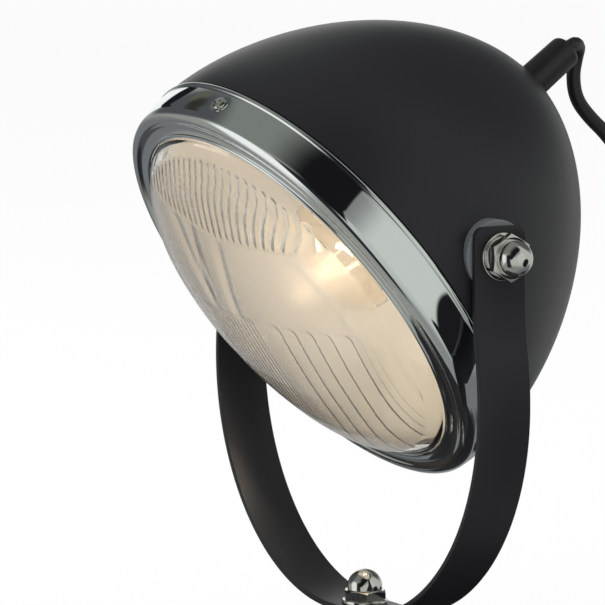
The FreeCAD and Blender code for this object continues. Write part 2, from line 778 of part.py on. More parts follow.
def bulb_glass():
    globe, neck_start, cap_start, _ = bulb_places()
    wall = bulb_glass_wall
    neck_turn = math.degrees(math.atan2(neck_start - globe, bulb_neck_radius))
    centre = (0, globe)
    inner = bulb_globe_radius - wall
    neck = bulb_neck_radius - wall
    inner_turn = -math.degrees(math.acos(neck / inner))
    return turned(outline(
        (0, globe + bulb_globe_radius),
        [on_circle(centre, bulb_globe_radius, (90 + neck_turn) / 2), (bulb_neck_radius, neck_start)],
        (bulb_neck_radius, cap_start), (neck, cap_start), on_circle(centre, inner, inner_turn),
        [on_circle(centre, inner, (90 + inner_turn) / 2), (0, globe + inner)]))


def bulb_cap():
    _, _, top, bottom = bulb_places()
    return disc(bulb_cap_radius, bottom, top).cut(disc(bulb_cap_radius - bulb_cap_wall, bottom + 1, top))


def bulb_contact():
    _, _, _, bottom = bulb_places()
    return disc(bulb_contact_radius, bottom - bulb_contact_height, bottom)


def bulb_filament():
    """A straight coil along the tilt axis on two legs from a stem in the cap."""
    globe, _, top, bottom = bulb_places()
    half = filament_span / 2
    stem_top = top + filament_stem_rise
    filament = rod(filament_radius, (-half, 0, globe), (half, 0, globe))
    for side in (-1, 1):
        foot = (side * filament_stem_radius * 0.7, 0, stem_top - 1)
        filament = filament.fuse(rod(filament_leg_radius, foot, (side * half * 0.9, 0, globe)))
    return filament.fuse(disc(filament_stem_radius, bottom + 1, stem_top))


def holder_contact():
    """Springy centre contact between the holder's floor and the bulb's contact."""
    _, _, _, bottom = bulb_places()
    floor = holder_back + holder_floor_thickness
    return disc(bulb_contact_radius, floor, bottom - bulb_contact_height)


# ------------------------------------------------------------------ head: bush, cord grip and wires
def cord_bush():
    seat = shell_depth_at(shell_seat_radius)
    wall_inside = shell_depth_at(shell_seat_radius, shell_wall)
    end = seat - bush_length
    neck = bush_hole_radius - seat_gap
    rim = bush_lip_radius
    return turned(outline(
        (cord_radius + seat_gap, end), (bush_tip_radius - rim, end),
        [on_circle((bush_tip_radius - rim, end + rim), rim, -45), (bush_tip_radius, end + rim)],
        (bush_radius, seat), (neck, seat), (neck, wall_inside), (bush_flange_radius, wall_inside),
        (bush_flange_radius, wall_inside + bush_flange_thickness),
        (bush_tip_radius, wall_inside + bush_flange_thickness),
        (bush_tip_radius, wall_inside + bush_inner_length),
        (cord_radius + seat_gap, wall_inside + bush_inner_length)))


def bush_inner_end():
    return shell_depth_at(shell_seat_radius, shell_wall) + bush_inner_length


def cord_lead_in():
    """The cord's straight stretch through the bush and the grip."""
    end = shell_depth_at(shell_seat_radius) - bush_length
    return disc(cord_radius, end, bush_inner_end() + cord_grip_length)


def cord_grip():
    start = bush_inner_end()
    return disc(cord_grip_radius, start, start + cord_grip_length, cord_radius + thread_gap)


def inner_wires():
    """The two wires from the sheath's end to the lampholder's terminals."""
    start = bush_inner_end() + cord_grip_length
    gap = holder_back - start
    wires = []
    for side in (-1, 1):
        route = [(side * wire_pitch, 0, start), (side * wire_pitch, 0, start + gap * 0.35),
                 (side * terminal_reach, 0, start + gap * 0.6), (side * terminal_reach, 0, holder_back)]
        wires.append(tube(route, wire_radius)[0])
    return Part.makeCompound(wires)


# ------------------------------------------------------------------ mains cord, coil, switch and plug
def supply_cord():
    stretches = []
    for name, route in (("to switch", cord_to_switch), ("to coil", cord_to_coil), ("to plug", cord_to_plug)):
        solid, radii, length = tube(route, cord_radius)
        section = math.pi * cord_radius ** 2
        print("cord", name, "length", round(length, 1), "radii", [round(radius, 1) for radius in radii],
              "volume / section x length", round(solid.Volume / (section * length), 4))
        stretches.append(solid)
    return Part.makeCompound(stretches)


def coil_section(inset):
    """The coil's cross-section, rounded by the cord's radius, grown by an inset below zero."""
    round_off = cord_radius - inset
    near = coil_radius - coil_half_width + inset
    far = coil_radius + coil_half_width - inset
    low = coil_bottom + inset
    high = coil_bottom + coil_height - inset
    corners = [(far - round_off, low + round_off), (far - round_off, high - round_off),
               (near + round_off, high - round_off), (near + round_off, low + round_off)]
    return outline(
        (near + round_off, low), (far - round_off, low),
        [on_circle(corners[0], round_off, -45), (far, low + round_off)], (far, high - round_off),
        [on_circle(corners[1], round_off, 45), (far - round_off, high)], (near + round_off, high),
        [on_circle(corners[2], round_off, 135), (near, high - round_off)], (near, low + round_off),
        [on_circle(corners[3], round_off, 225)] + [(near + round_off, low)])


def cord_coil():
    coil = turned(coil_section(0))
    coil.translate(Vector(coil_centre[0], coil_centre[1], 0))
    return coil


def coil_tie():
    """A strap once round the bundle, which stands on it."""
    outer = coil_section(-coil_tie_gap - coil_tie_sheet).extrude(Vector(0, coil_tie_width, 0))
    inner = coil_section(-coil_tie_gap).extrude(Vector(0, coil_tie_width, 0))
    tie = outer.cut(inner)
    tie.translate(Vector(0, -coil_tie_width / 2, 0))
    tie = around_axis(tie, coil_tie_turn)
    tie.translate(Vector(coil_centre[0], coil_centre[1], 0))
    return tie


def switch_box(bottom, top, inset):
    """A switch half's block with rounded upright corners, at the switch's place."""
    half_length = switch_length / 2 - inset
    half_width = switch_width / 2 - inset
    box = block((-half_length, -half_width, bottom), (half_length, half_width, top))
    upright = top - bottom - 0.01
    return rounded_edges(box, switch_corner_radius - inset, lambda edge: edge.BoundBox.ZLength > upright)


def at_switch(shape):
    placed = shape.copy()
    placed.translate(Vector(switch_centre[0], switch_centre[1], 0))
    return placed


def switch_cord_channel():
    half = switch_length / 2 + 1
    return rod(cord_radius + seat_gap, (-half, 0, switch_cord_height), (half, 0, switch_cord_height))


def switch_screw_spots():
    reach = switch_length / 2 - switch_screw_inset
    return ((-reach, switch_width / 4), (reach, -switch_width / 4))


def switch_base():
    body = switch_box(0, switch_split, 0)
    body = rounded_edges(body, switch_edge_radius, lambda edge: edge.BoundBox.ZMax < 0.01)
    body = body.cut(switch_box(switch_wall, switch_split, switch_wall))
    body = body.cut(switch_cord_channel())
    for x, y in switch_screw_spots():
        low = (x, y, switch_wall)
        high = (x, y, switch_split)
        body = body.fuse(rod(2 * switch_screw_radius, low, high))
        body = body.cut(rod(switch_screw_radius + thread_gap, low, high))
    return at_switch(body)


def switch_lid():
    body = switch_box(switch_split, switch_height, 0)
    body = rounded_edges(body, switch_edge_radius, lambda edge: edge.BoundBox.ZMin > switch_height - 0.01)
    body = body.cut(switch_box(switch_split, switch_height - switch_wall, switch_wall))
    slot_x = rocker_length / 2 + rocker_gap
    slot_y = rocker_width / 2 + rocker_gap
    cheek = slot_y + switch_wall
    frame = block((-slot_x - switch_wall, -cheek, switch_split), (slot_x + switch_wall, cheek, switch_height))
    body = body.fuse(frame).cut(block((-slot_x, -slot_y, switch_split), (slot_x, slot_y, switch_height)))
    pin_reach = rocker_width / 2 + rocker_pin_length + 2 * running_gap
    bearing = rod(rocker_pin_radius + running_gap,
                  (0, -pin_reach, rocker_axis_height), (0, pin_reach, rocker_axis_height))
    body = body.cut(bearing)
    for x, y in switch_screw_spots():
        low = (x, y, switch_split)
        sunk = (x, y, switch_height - switch_wall / 2)
        top = (x, y, switch_height)
        body = body.fuse(rod(2 * switch_screw_radius, low, sunk))
        body = body.cut(rod(switch_screw_radius + seat_gap, low, top))
        body = body.cut(rod(switch_screw_head_radius + seat_gap, sunk, top))
    return at_switch(body.cut(switch_cord_channel()))


def switch_screws():
    screws = []
    for x, y in switch_screw_spots():
        sunk = switch_height - switch_wall / 2
        head = rod(switch_screw_head_radius, (x, y, sunk), (x, y, switch_height))
        slot = block((x - switch_screw_head_radius, y - 0.3, switch_height - 0.5),
                     (x + switch_screw_head_radius, y + 0.3, switch_height))
        shank = rod(switch_screw_radius, (x, y, switch_wall + seat_gap), (x, y, sunk))
        screws.append(at_switch(head.fuse(shank).cut(slot)))
    return Part.makeCompound(screws)


def switch_rocker():
    """A shallow V-topped rocker on a pin, tipped to the end that it rests at."""
    half = rocker_length / 2
    foot = half * 0.7
    side = outline(
        (-foot, -rocker_depth), (foot, -rocker_depth), (half, 0), (half, rocker_rise),
        [(0, rocker_rise * 0.6), (-half, rocker_rise)], (-half, 0))
    body = side.extrude(Vector(0, rocker_width, 0))
    body.translate(Vector(0, -rocker_width / 2, 0))
    pin_reach = rocker_width / 2 + rocker_pin_length
    body = body.fuse(rod(rocker_pin_radius, (0, -pin_reach, 0), (0, pin_reach, 0)))
    body.rotate(Vector(0, 0, 0), Vector(0, 1, 0), rocker_tilt)
    body.translate(Vector(0, 0, rocker_axis_height))
    return at_switch(body)


def plug_body():
    """A flat two-pin plug lying on the table, its pin face towards +X and its cord at the back."""
    half = plug_width / 2
    waist = plug_waist / 2
    corners = [(0, -half), (0, half), (-plug_length * 0.45, half), (-plug_length, waist),
               (-plug_length, -waist), (-plug_length * 0.45, -half), (0, -half)]
    face = Part.Face(Part.makePolygon([Vector(x, y, 0) for x, y in corners]))
    body = face.extrude(Vector(0, 0, plug_height))
    body = body.makeFillet(plug_edge_radius, body.Edges)
    body.translate(Vector(plug_front[0], plug_front[1], 0))
    return body


def plug_pins():
    pins = []
    for side in (-1, 1):
        y = plug_front[1] + side * pin_pitch / 2
        height = plug_height / 2
        pin = rod(pin_radius, (plug_front[0], y, height), (plug_front[0] + pin_length, y, height))
        tip = plug_front[0] + pin_length
        pins.append(rounded_edges(pin, pin_radius / 2, lambda edge: edge.BoundBox.XMin > tip - 0.01))
    return Part.makeCompound(pins)


# ------------------------------------------------------------------ all pieces
base_pieces = [
    base_pad, base_plate, plate_screws, base_weight, base_cover, swivel_collar, swivel_glide_washer,
    swivel_bolt, swivel_flat_washer, swivel_dome_nut,
]
yoke_pieces = [yoke_strap]
head_pieces = [
    lamp_shell, pivot_saddles, pivot_bolts, pivot_spacers, pivot_flat_washers, pivot_spring_washers,
    pivot_dome_nuts, rim_bezel, rim_screw, rim_clip, lens_glass, lens_gasket, reflector, reflector_clips,
    lampholder_body, lampholder_ring, lampholder_liner, holder_contact, bulb_glass, bulb_cap, bulb_contact,
    bulb_filament, cord_bush, cord_lead_in, cord_grip, inner_wires,
]
cord_pieces = [
    supply_cord, cord_coil, coil_tie, switch_base, switch_lid, switch_screws, switch_rocker,
    plug_body, plug_pins,
]

os.makedirs("parts", exist_ok=True)
for piece in base_pieces + yoke_pieces + head_pieces + cord_pieces:
    shape = piece()
    if piece in head_pieces:
        shape = in_head(shape)
    if not shape.isValid() or shape.Volume <= 0:
        print("check", piece.__name__, "valid", shape.isValid(), "volume", round(shape.Volume, 1))
    shape.exportStep(os.path.join("parts", piece.__name__ + ".step"))
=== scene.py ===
import math

import bmesh
import bpy
from mathutils import Matrix, Vector


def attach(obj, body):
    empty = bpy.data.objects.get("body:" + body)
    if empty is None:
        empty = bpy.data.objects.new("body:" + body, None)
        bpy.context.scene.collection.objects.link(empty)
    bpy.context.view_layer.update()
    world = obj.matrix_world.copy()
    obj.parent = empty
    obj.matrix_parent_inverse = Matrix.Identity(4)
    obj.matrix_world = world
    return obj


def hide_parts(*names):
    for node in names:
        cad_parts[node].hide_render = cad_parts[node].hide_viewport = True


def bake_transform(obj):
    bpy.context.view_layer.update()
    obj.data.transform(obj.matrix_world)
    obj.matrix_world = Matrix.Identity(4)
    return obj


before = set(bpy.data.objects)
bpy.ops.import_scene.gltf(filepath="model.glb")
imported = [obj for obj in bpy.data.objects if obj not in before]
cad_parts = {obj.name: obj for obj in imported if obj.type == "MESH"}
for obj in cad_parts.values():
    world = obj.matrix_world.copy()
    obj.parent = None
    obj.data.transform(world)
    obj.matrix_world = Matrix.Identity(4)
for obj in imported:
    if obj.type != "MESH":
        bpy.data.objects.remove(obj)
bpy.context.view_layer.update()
MM = 0.001

# ==== View and room
# The lamp stands on a white table top in an evenly lit white room.
# The camera is a long lens at the height of the head, looking a little down on it.
camera = bpy.data.objects.new("camera", bpy.data.cameras.new("camera"))
bpy.context.scene.collection.objects.link(camera)
camera.data.lens = 238.4
camera.data.sensor_width = 36.0
camera.data.clip_end = 60.0
camera.matrix_world = Matrix((
    (0.5123, -0.1020, 0.8527, 1.1748),
    (0.8588, 0.0609, -0.5087, -0.7263),
    (0.0, 0.9929, 0.1188, 0.3103),
    (0.0, 0.0, 0.0, 1.0)))
bpy.context.scene.camera = camera
bpy.context.scene.view_settings.view_transform = "Standard"


def linear(code):
    """An sRGB hex value as the linear colour that a shader takes."""
    parts = [int(code[i:i + 2], 16) / 255 for i in (1, 3, 5)]
    return [p / 12.92 if p <= 0.04045 else ((p + 0.055) / 1.055) ** 2.4 for p in parts] + [1.0]


def add(tree, kind, sockets=None, **settings):
    """Adds a node: sockets are set to a value, or linked where the value is another node's socket."""
    node = tree.nodes.new(kind)
    for name, value in settings.items():
        setattr(node, name, value)
    for name, value in (sockets or {}).items():
        if isinstance(value, bpy.types.NodeSocket):
            tree.links.new(value, node.inputs[name])
        else:
            node.inputs[name].default_value = value
    return node


# White for the camera and through glass, plain grey-white for the light on matt surfaces.
# Polished metal sees the softboxes and black flags of a studio: soft or sharp-edged zones, each where
# one to three directions are nearer than some degrees, later ones over earlier ones.
room = bpy.data.worlds.new("white_room")
bpy.context.scene.world = room
room.use_nodes = True
tree = room.node_tree
tree.nodes.clear()
looking = add(tree, "ShaderNodeTexCoord").outputs["Generated"]
reflected = linear("#c4c8c3")
zones = (
    # colour, then for each direction its azimuth and elevation, and the degrees from it within
    # which the zone is full and beyond which it is gone
    ("#8c8f90", (0, -90, 36, 62)),
    ("#ced3cc", (8, 10, 22, 34)),
    ("#868988", (-140, 35.6, 90, 110), (-24, 40, 18, 34)),
    ("#979993", (-140, -40, 35, 55)),
    ("#5a5c5e", (112, 42, 20, 40)),
    ("#74777a", (175, -22, 12, 32)),
    ("#dfe3e2", (-122, -22, 8, 15)),
    ("#8a8d8f", (134, -30, 12, 20)),
    ("#2a2b2e", (140, -54, 18, 24)),
    ("#2b2c2f", (176, -51, 10, 17)),
    ("#4c4d50", (177, -38, 4, 8)),
    ("#7f847e", (-125, 62, 35, 50)),
    ("#505356", (-158, 27, 20, 34)),
    ("#1a1b1f", (171, 20.5, 6, 8)),
    ("#ffffff", (157.5, 4, 15.5, 17.5), (0, 90, 93, 97)),
    ("#5f6052", (-178, 37, 1, 7)),
    ("#35342e", (-168, 37, 1, 8)),
    ("#ffffff", (-108, 0, 16, 26)),
    ("#2b2c2f", (-164, 0, 100, 106), (16, 0, 100, 106), (-74, -12, 34, 44)),
    ("#17171a", (11, -1.5, 72, 98), (-140, 35.6, 89.3, 90.7), (-48, 45, 42, 50)),
    ("#76797b", (90, -55, 25, 40)),
    ("#3a3b3d", (102, -54, 8, 16)),
    ("#1c1c1f", (115.5, -23, 89, 91), (-20.8, 16.6, 89, 91), (43, -20, 19, 22)),
)
for colour, *near in zones:
    share = 1.0
    for azimuth, elevation, full, gone in near:
        level = math.cos(math.radians(elevation))
        unit = Vector((level * math.cos(math.radians(azimuth)), level * math.sin(math.radians(azimuth)),
                       math.sin(math.radians(elevation))))
        nearness = add(tree, "ShaderNodeVectorMath", {0: looking, 1: unit}, operation="DOT_PRODUCT")
        share = add(tree, "ShaderNodeMath", {0: share, 1: add(tree, "ShaderNodeMapRange", {
            "Value": nearness.outputs["Value"], "From Min": math.cos(math.radians(gone)),
            "From Max": math.cos(math.radians(full))}, interpolation_type="SMOOTHSTEP").outputs[0]},
            operation="MULTIPLY").outputs[0]
    reflected = add(tree, "ShaderNodeMix", {
        0: share, 6: reflected, 7: linear(colour)}, data_type="RGBA").outputs[2]
ray = add(tree, "ShaderNodeLightPath").outputs
lit = add(tree, "ShaderNodeMix", {
    0: ray["Is Glossy Ray"], 6: linear("#dcdcdc"), 7: reflected}, data_type="RGBA").outputs[2]
clear = add(tree, "ShaderNodeMath", {
    0: ray["Is Camera Ray"], 1: ray["Is Transmission Ray"]}, operation="MAXIMUM").outputs[0]
shown = add(tree, "ShaderNodeMix", {
    0: clear, 6: lit, 7: linear("#ffffff")}, data_type="RGBA").outputs[2]
background = add(tree, "ShaderNodeBackground", {"Color": shown, "Strength": 1.0})
add(tree, "ShaderNodeOutputWorld", {"Surface": background.outputs[0]})

table_radius, table_paleness, table_glow = 14.0, 0.72, 1.1
floor_mesh = bpy.data.meshes.new("table_top")
bm = bmesh.new()
bmesh.ops.create_circle(bm, cap_ends=True, radius=table_radius, segments=96)
bm.to_mesh(floor_mesh)
bm.free()
floor = bpy.data.objects.new("table_top", floor_mesh)
bpy.context.scene.collection.objects.link(floor)
white_table = bpy.data.materials.new("white_table_top")
white_table.use_nodes = True
tree = white_table.node_tree
tree.nodes.clear()
matt = add(tree, "ShaderNodeBsdfDiffuse", {"Color": linear("#ededed")})
glow = add(tree, "ShaderNodeEmission", {"Color": linear("#ffffff"), "Strength": table_glow})
ray = add(tree, "ShaderNodeLightPath").outputs
seen = add(tree, "ShaderNodeMath", {
    0: ray["Is Camera Ray"], 1: ray["Is Transmission Ray"]}, operation="MAXIMUM").outputs[0]
paleness = add(tree, "ShaderNodeMath", {0: seen, 1: table_paleness}, operation="MULTIPLY").outputs[0]
mixed = add(tree, "ShaderNodeMixShader", {0: paleness, 1: matt.outputs[0], 2: glow.outputs[0]})
add(tree, "ShaderNodeOutputMaterial", {"Surface": mixed.outputs[0]})
floor.data.materials.append(white_table)
floor.visible_glossy = False

lit_place = Vector((0, 0, 0.12))
for name, place, size, power in (
    ("overhead_softbox", (-0.5, -0.3, 1.7), 1.6, 4.0),
    ("side_softbox", (-1.3, -1.2, 0.9), 1.0, 5.0),
):
    lamp = bpy.data.lights.new(name, "AREA")
    lamp.shape = "DISK"
    lamp.size = size
    lamp.energy = power
    light = bpy.data.objects.new(name, lamp)
    bpy.context.scene.collection.objects.link(light)
    light.location = place
    light.rotation_euler = (lit_place - Vector(place)).to_track_quat("-Z", "Y").to_euler()
    light.visible_glossy = False

# ==== Rubber pad under the base
# A disc of black rubber, cut from sheet and glued on, that keeps the base from sliding.
# Its edge stands a little inside the cover's.


def rounded_outline(corners, steps=5):
    """Outline points from (radius, height, rounding) corners in mm, with an arc at each rounded corner."""
    points = []
    count = len(corners)
    for index, (across, up, rounding) in enumerate(corners):
        here = Vector((across, up))
        if rounding <= 0:
            points.append(here)
            continue
        before = Vector(corners[index - 1][:2]) - here
        after = Vector(corners[(index + 1) % count][:2]) - here
        half = before.angle(after) / 2
        reach = rounding / math.tan(half)
        centre = here + (before.normalized() + after.normalized()).normalized() * rounding / math.sin(half)
        start = here + before.normalized() * reach - centre
        end = here + after.normalized() * reach - centre
        turn = start.angle_signed(end)
        for step in range(steps + 1):
            angle = -turn * step / steps
            points.append(centre + Matrix.Rotation(angle, 2) @ start)
    return points


def new_piece(name, mesh, material, body, nodes, sharp=35.0):
    """Puts a finished mesh in the scene: its normals outward, its finish, its body and its CAD nodes."""
    bm = bmesh.new()
    bm.from_mesh(mesh)
    bmesh.ops.remove_doubles(bm, verts=bm.verts, dist=2e-6)
    bmesh.ops.recalc_face_normals(bm, faces=bm.faces)
    bm.to_mesh(mesh)
    bm.free()
    for polygon in mesh.polygons:
        polygon.use_smooth = True
    mesh.set_sharp_from_angle(angle=math.radians(sharp))
    mesh.materials.clear()
    mesh.materials.append(material)
    piece = bpy.data.objects.new(name, mesh)
    bpy.context.scene.collection.objects.link(piece)
    if body:
        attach(piece, body)
    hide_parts(*nodes)
    return piece


def turned_mesh(outlines, segments, place=Matrix.Identity(4)):
    """A mesh of closed (radius, height) outlines in mm swept round the Z axis, then put in place."""
    mesh = bpy.data.meshes.new("turned")
    bm = bmesh.new()
    for outline in outlines:
        rings = []
        for across, up in outline:
            if across < 1e-4:
                rings.append([bm.verts.new((0, 0, up * MM))] * segments)
                continue
            rings.append([bm.verts.new((
                across * MM * math.cos(2 * math.pi * step / segments),
                across * MM * math.sin(2 * math.pi * step / segments), up * MM)) for step in range(segments)])
        for low, high in zip(rings, rings[1:] + rings[:1]):
            for step in range(segments):
                after = (step + 1) % segments
                corners = []
                for vert in (low[step], low[after], high[after], high[step]):
                    if vert not in corners:
                        corners.append(vert)
                if len(corners) > 2:
                    bm.faces.new(corners)
    bm.transform(place)
    bm.to_mesh(mesh)
    bm.free()
    return mesh


def material_tree(name):
    """A new material with an empty node tree and its output, ready for its surface."""
    material = bpy.data.materials.new(name)
    material.use_nodes = True
    material.node_tree.nodes.clear()
    return material, material.node_tree


def finish_surface(tree, shader, bump=None):
    """Links a shader to the output, with a height in metres on its normal where one is given."""
    if bump is not None:
        relief = add(tree, "ShaderNodeBump", {"Height": bump, "Distance": 1.0})
        tree.links.new(relief.outputs[0], shader.inputs["Normal"])
    add(tree, "ShaderNodeOutputMaterial", {"Surface": shader.outputs[0]})


def grain(tree, size_mm, detail=2.0):
    """Noise over the piece with blobs of about this size."""
    where = add(tree, "ShaderNodeTexCoord").outputs["Object"]
    return add(tree, "ShaderNodeTexNoise", {
        "Vector": where, "Scale": 1000.0 / size_mm, "Detail": detail}).outputs["Fac"]


def between(tree, share, low, high):
    """A 0 to 1 share spread over a range of values."""
    return add(tree, "ShaderNodeMapRange", {"Value": share, "To Min": low, "To Max": high}).outputs[0]


# Moulded rubber: nearly black, with a dull grain of about half a millimetre.
moulded_rubber, tree = material_tree("moulded_rubber")
speck = grain(tree, 0.6)
rubber = add(tree, "ShaderNodeBsdfPrincipled", {
    "Base Color": linear("#1b1b1c"), "Roughness": between(tree, speck, 0.62, 0.8)})
finish_surface(tree, rubber, between(tree, speck, 0.0, 3e-5))
pad_radius, pad_top = 86.0, 2.0
pad = turned_mesh([rounded_outline([
    (0, 0, 0), (pad_radius, 0, 0.5), (pad_radius, pad_top, 0.3), (0, pad_top, 0)])], 192)
new_piece("base_rubber_pad", pad, moulded_rubber, "base", ["base_pad"])

# ==== Base plate, its screws and the weight
# A zinc-plated steel disc closes the base from below, screwed into a cast iron weight.
# The yoke's bolt goes up through the weight; its head sits in a recess over the plate.

# Bright zinc plate: blue-grey and dull, with the cloudy spangle of the bath, a few millimetres wide.
zinc_plate, tree = material_tree("zinc_plated_steel")
cloud = grain(tree, 6.0, 3.0)
zinc_tone = add(tree, "ShaderNodeMix", {
    0: cloud, 6: linear("#9a9da0"), 7: linear("#b9bcbd")}, data_type="RGBA").outputs[2]
zinc = add(tree, "ShaderNodeBsdfPrincipled", {
    "Base Color": zinc_tone, "Metallic": 1.0, "Roughness": between(tree, cloud, 0.28, 0.42)})
finish_surface(tree, zinc)
plate_radius, plate_top = 88.7, 4.0
plate = turned_mesh([rounded_outline([
    (0, pad_top, 0), (plate_radius, pad_top, 0.3), (plate_radius, plate_top, 0.3), (0, plate_top, 0)])], 192)
new_piece("base_steel_plate", plate, zinc_plate, "base", ["base_plate"])

# Cast iron: dark grey, rough as the sand mould left it, grains of about a millimetre.
cast_iron, tree = material_tree("sand_cast_iron")
sand = grain(tree, 1.2, 4.0)
iron = add(tree, "ShaderNodeBsdfPrincipled", {
    "Base Color": linear("#4a4a4b"), "Metallic": 0.7, "Roughness": between(tree, sand, 0.55, 0.75)})
finish_surface(tree, iron, between(tree, sand, 0.0, 1e-4))


def finish_node(node, material):
    """Gives a CAD node that stays in the picture its procedural finish."""
    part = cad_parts[node]
    part.data.materials.clear()
    part.data.materials.append(material)


finish_node("base_weight", cast_iron)
finish_node("plate_screws", zinc_plate)
finish_node("swivel_bolt", zinc_plate)

# ==== Base cover
# A shallow dish of spun steel with a rounded edge, enamelled satin black on the outside.
# It is held between the weight below and the collar above by the yoke's bolt.

# Satin black enamel: a smooth sprayed film with a faint orange-peel ripple about 2 mm long,
# soft wide highlights and no colour of its own.
satin_enamel, tree = material_tree("satin_black_enamel")
ripple = grain(tree, 2.2, 1.0)
enamel = add(tree, "ShaderNodeBsdfPrincipled", {
    "Base Color": linear("#28282b"), "Roughness": between(tree, ripple, 0.33, 0.37),
    "Specular IOR Level": 0.25})
finish_surface(tree, enamel, between(tree, ripple, 0.0, 6e-6))
cover_radius, cover_top, cover_edge, cover_sheet, bolt_hole = 90.0, 20.0, 5.0, 1.2, 4.1
cover = turned_mesh([rounded_outline([
    (cover_radius, pad_top, 0.3), (cover_radius, cover_top, cover_edge), (bolt_hole, cover_top, 0.2),
    (bolt_hole, cover_top - cover_sheet, 0),
    (cover_radius - cover_sheet, cover_top - cover_sheet, cover_edge - cover_sheet),
    (cover_radius - cover_sheet, pad_top, 0)], 12)], 288)
new_piece("base_enamelled_cover", cover, satin_enamel, "base", ["base_cover"])

# ==== Swivel: collar, glide washer, washer and dome nut
# A turned steel collar stands on the cover and a nylon washer on it carries the yoke.
# A flat washer and a nickel-plated dome nut hold the yoke's strap down on them.
collar_radius, collar_top = 15.0, 36.0
collar = turned_mesh([rounded_outline([
    (bolt_hole, cover_top, 0), (collar_radius, cover_top, 0.3), (collar_radius, collar_top, 0.6),
    (bolt_hole, collar_top, 0)])], 128)
new_piece("swivel_steel_collar", collar, satin_enamel, "base", ["swivel_collar"])

# Moulded nylon: dark, waxy and even, grain too fine to show, so it is drawn half a millimetre wide.
nylon, tree = material_tree("moulded_nylon")
waxy = add(tree, "ShaderNodeBsdfPrincipled", {
    "Base Color": linear("#2c2c2d"), "Roughness": between(tree, grain(tree, 0.5), 0.42, 0.52)})
finish_surface(tree, waxy)
glide_radius, glide_top = 13.0, 37.0
glide = turned_mesh([rounded_outline([
    (bolt_hole, collar_top, 0), (glide_radius, collar_top, 0.2), (glide_radius, glide_top, 0.2),
    (bolt_hole, glide_top, 0)])], 96)
new_piece("swivel_nylon_washer", glide, nylon, "base", ["swivel_glide_washer"])

# Bright nickel plate: warm grey and mirror-like, with slight tumbling marks a millimetre apart.
nickel_plate, tree = material_tree("bright_nickel_plate")
tumbled = grain(tree, 1.1, 2.0)
nickel = add(tree, "ShaderNodeBsdfPrincipled", {
    "Base Color": linear("#dcdbd6"), "Metallic": 1.0, "Roughness": between(tree, tumbled, 0.06, 0.13)})
finish_surface(tree, nickel, between(tree, tumbled, 0.0, 8e-6))


def washer_outline(outer, bottom, top, edge=0.25):
    """A washer's section: a bolt hole and slightly rounded edges."""
    return rounded_outline([
        (bolt_hole, bottom, 0), (outer, bottom, edge), (outer, top, edge), (bolt_hole, top, edge)], 3)


def join_rings(bm, rings):
    """Fills the gap between each ring of points and the next with quads."""
    for low, high in zip(rings, rings[1:]):
        for step in range(len(low)):
            after = (step + 1) % len(low)
            bm.faces.new((low[step], low[after], high[after], high[step]))


def dome_nut_mesh(bottom, turn, segments=96):
    """A hexagon with both ends turned to a 30 degree chamfer, a short collar and a dome, up the Z axis."""
    flats, hex_height, dome, collar_height, bore, bore_past_hex = 7.0, 3.4, 6.1, 1.2, 4.0, 3.0
    chamfer, face_radius = math.tan(math.radians(30)), flats * 0.985
    mesh = bpy.data.meshes.new("dome_nut")
    bm = bmesh.new()
    rows = []
    for name in ("bore", "bottom", "bottom_edge", "top_edge", "top", "groove", "collar"):
        row = []
        for step in range(segments):
            angle = 2 * math.pi * step / segments
            corner = flats / math.cos((angle + math.pi / 6) % (math.pi / 3) - math.pi / 6)
            cut = (corner - face_radius) * chamfer
            across, up = {
                "bore": (bore, 0.0), "bottom": (face_radius, 0.0), "bottom_edge": (corner, cut),
                "top_edge": (corner, hex_height - cut), "top": (face_radius, hex_height),
                "groove": (dome - 0.15, hex_height), "collar": (dome, hex_height + 0.25)}[name]
            row.append(bm.verts.new((
                across * MM * math.cos(angle + turn), across * MM * math.sin(angle + turn),
                (bottom + up) * MM)))
        rows.append(row)
    start = bottom + hex_height + collar_height
    for rise in range(0, 90, 6):
        across = dome * math.cos(math.radians(rise))
        up = start + dome * math.sin(math.radians(rise))
        rows.append([bm.verts.new((
            across * MM * math.cos(2 * math.pi * step / segments + turn),
            across * MM * math.sin(2 * math.pi * step / segments + turn), up * MM))
            for step in range(segments)])
    join_rings(bm, rows)
    tip = bm.verts.new((0, 0, (start + dome) * MM))
    foot = bm.verts.new((0, 0, (bottom + bore_past_hex) * MM))
    for step in range(segments):
        after = (step + 1) % segments
        bm.faces.new((rows[-1][step], rows[-1][after], tip))
        bm.faces.new((rows[0][after], rows[0][step], foot))
    bm.to_mesh(mesh)
    bm.free()
    return mesh


strap_thick, washer_thick, washer_radius = 2.0, 1.6, 8.0
washer_bottom = glide_top + strap_thick
lower_washer = turned_mesh([washer_outline(washer_radius, washer_bottom, washer_bottom + washer_thick)], 96)
new_piece("swivel_nickel_washer", lower_washer, nickel_plate, "base", ["swivel_flat_washer"])
lower_nut = dome_nut_mesh(washer_bottom + washer_thick, math.radians(2.4))
new_piece("swivel_nickel_dome_nut", lower_nut, nickel_plate, "base",
          ["swivel_dome_nut"], 25.0)

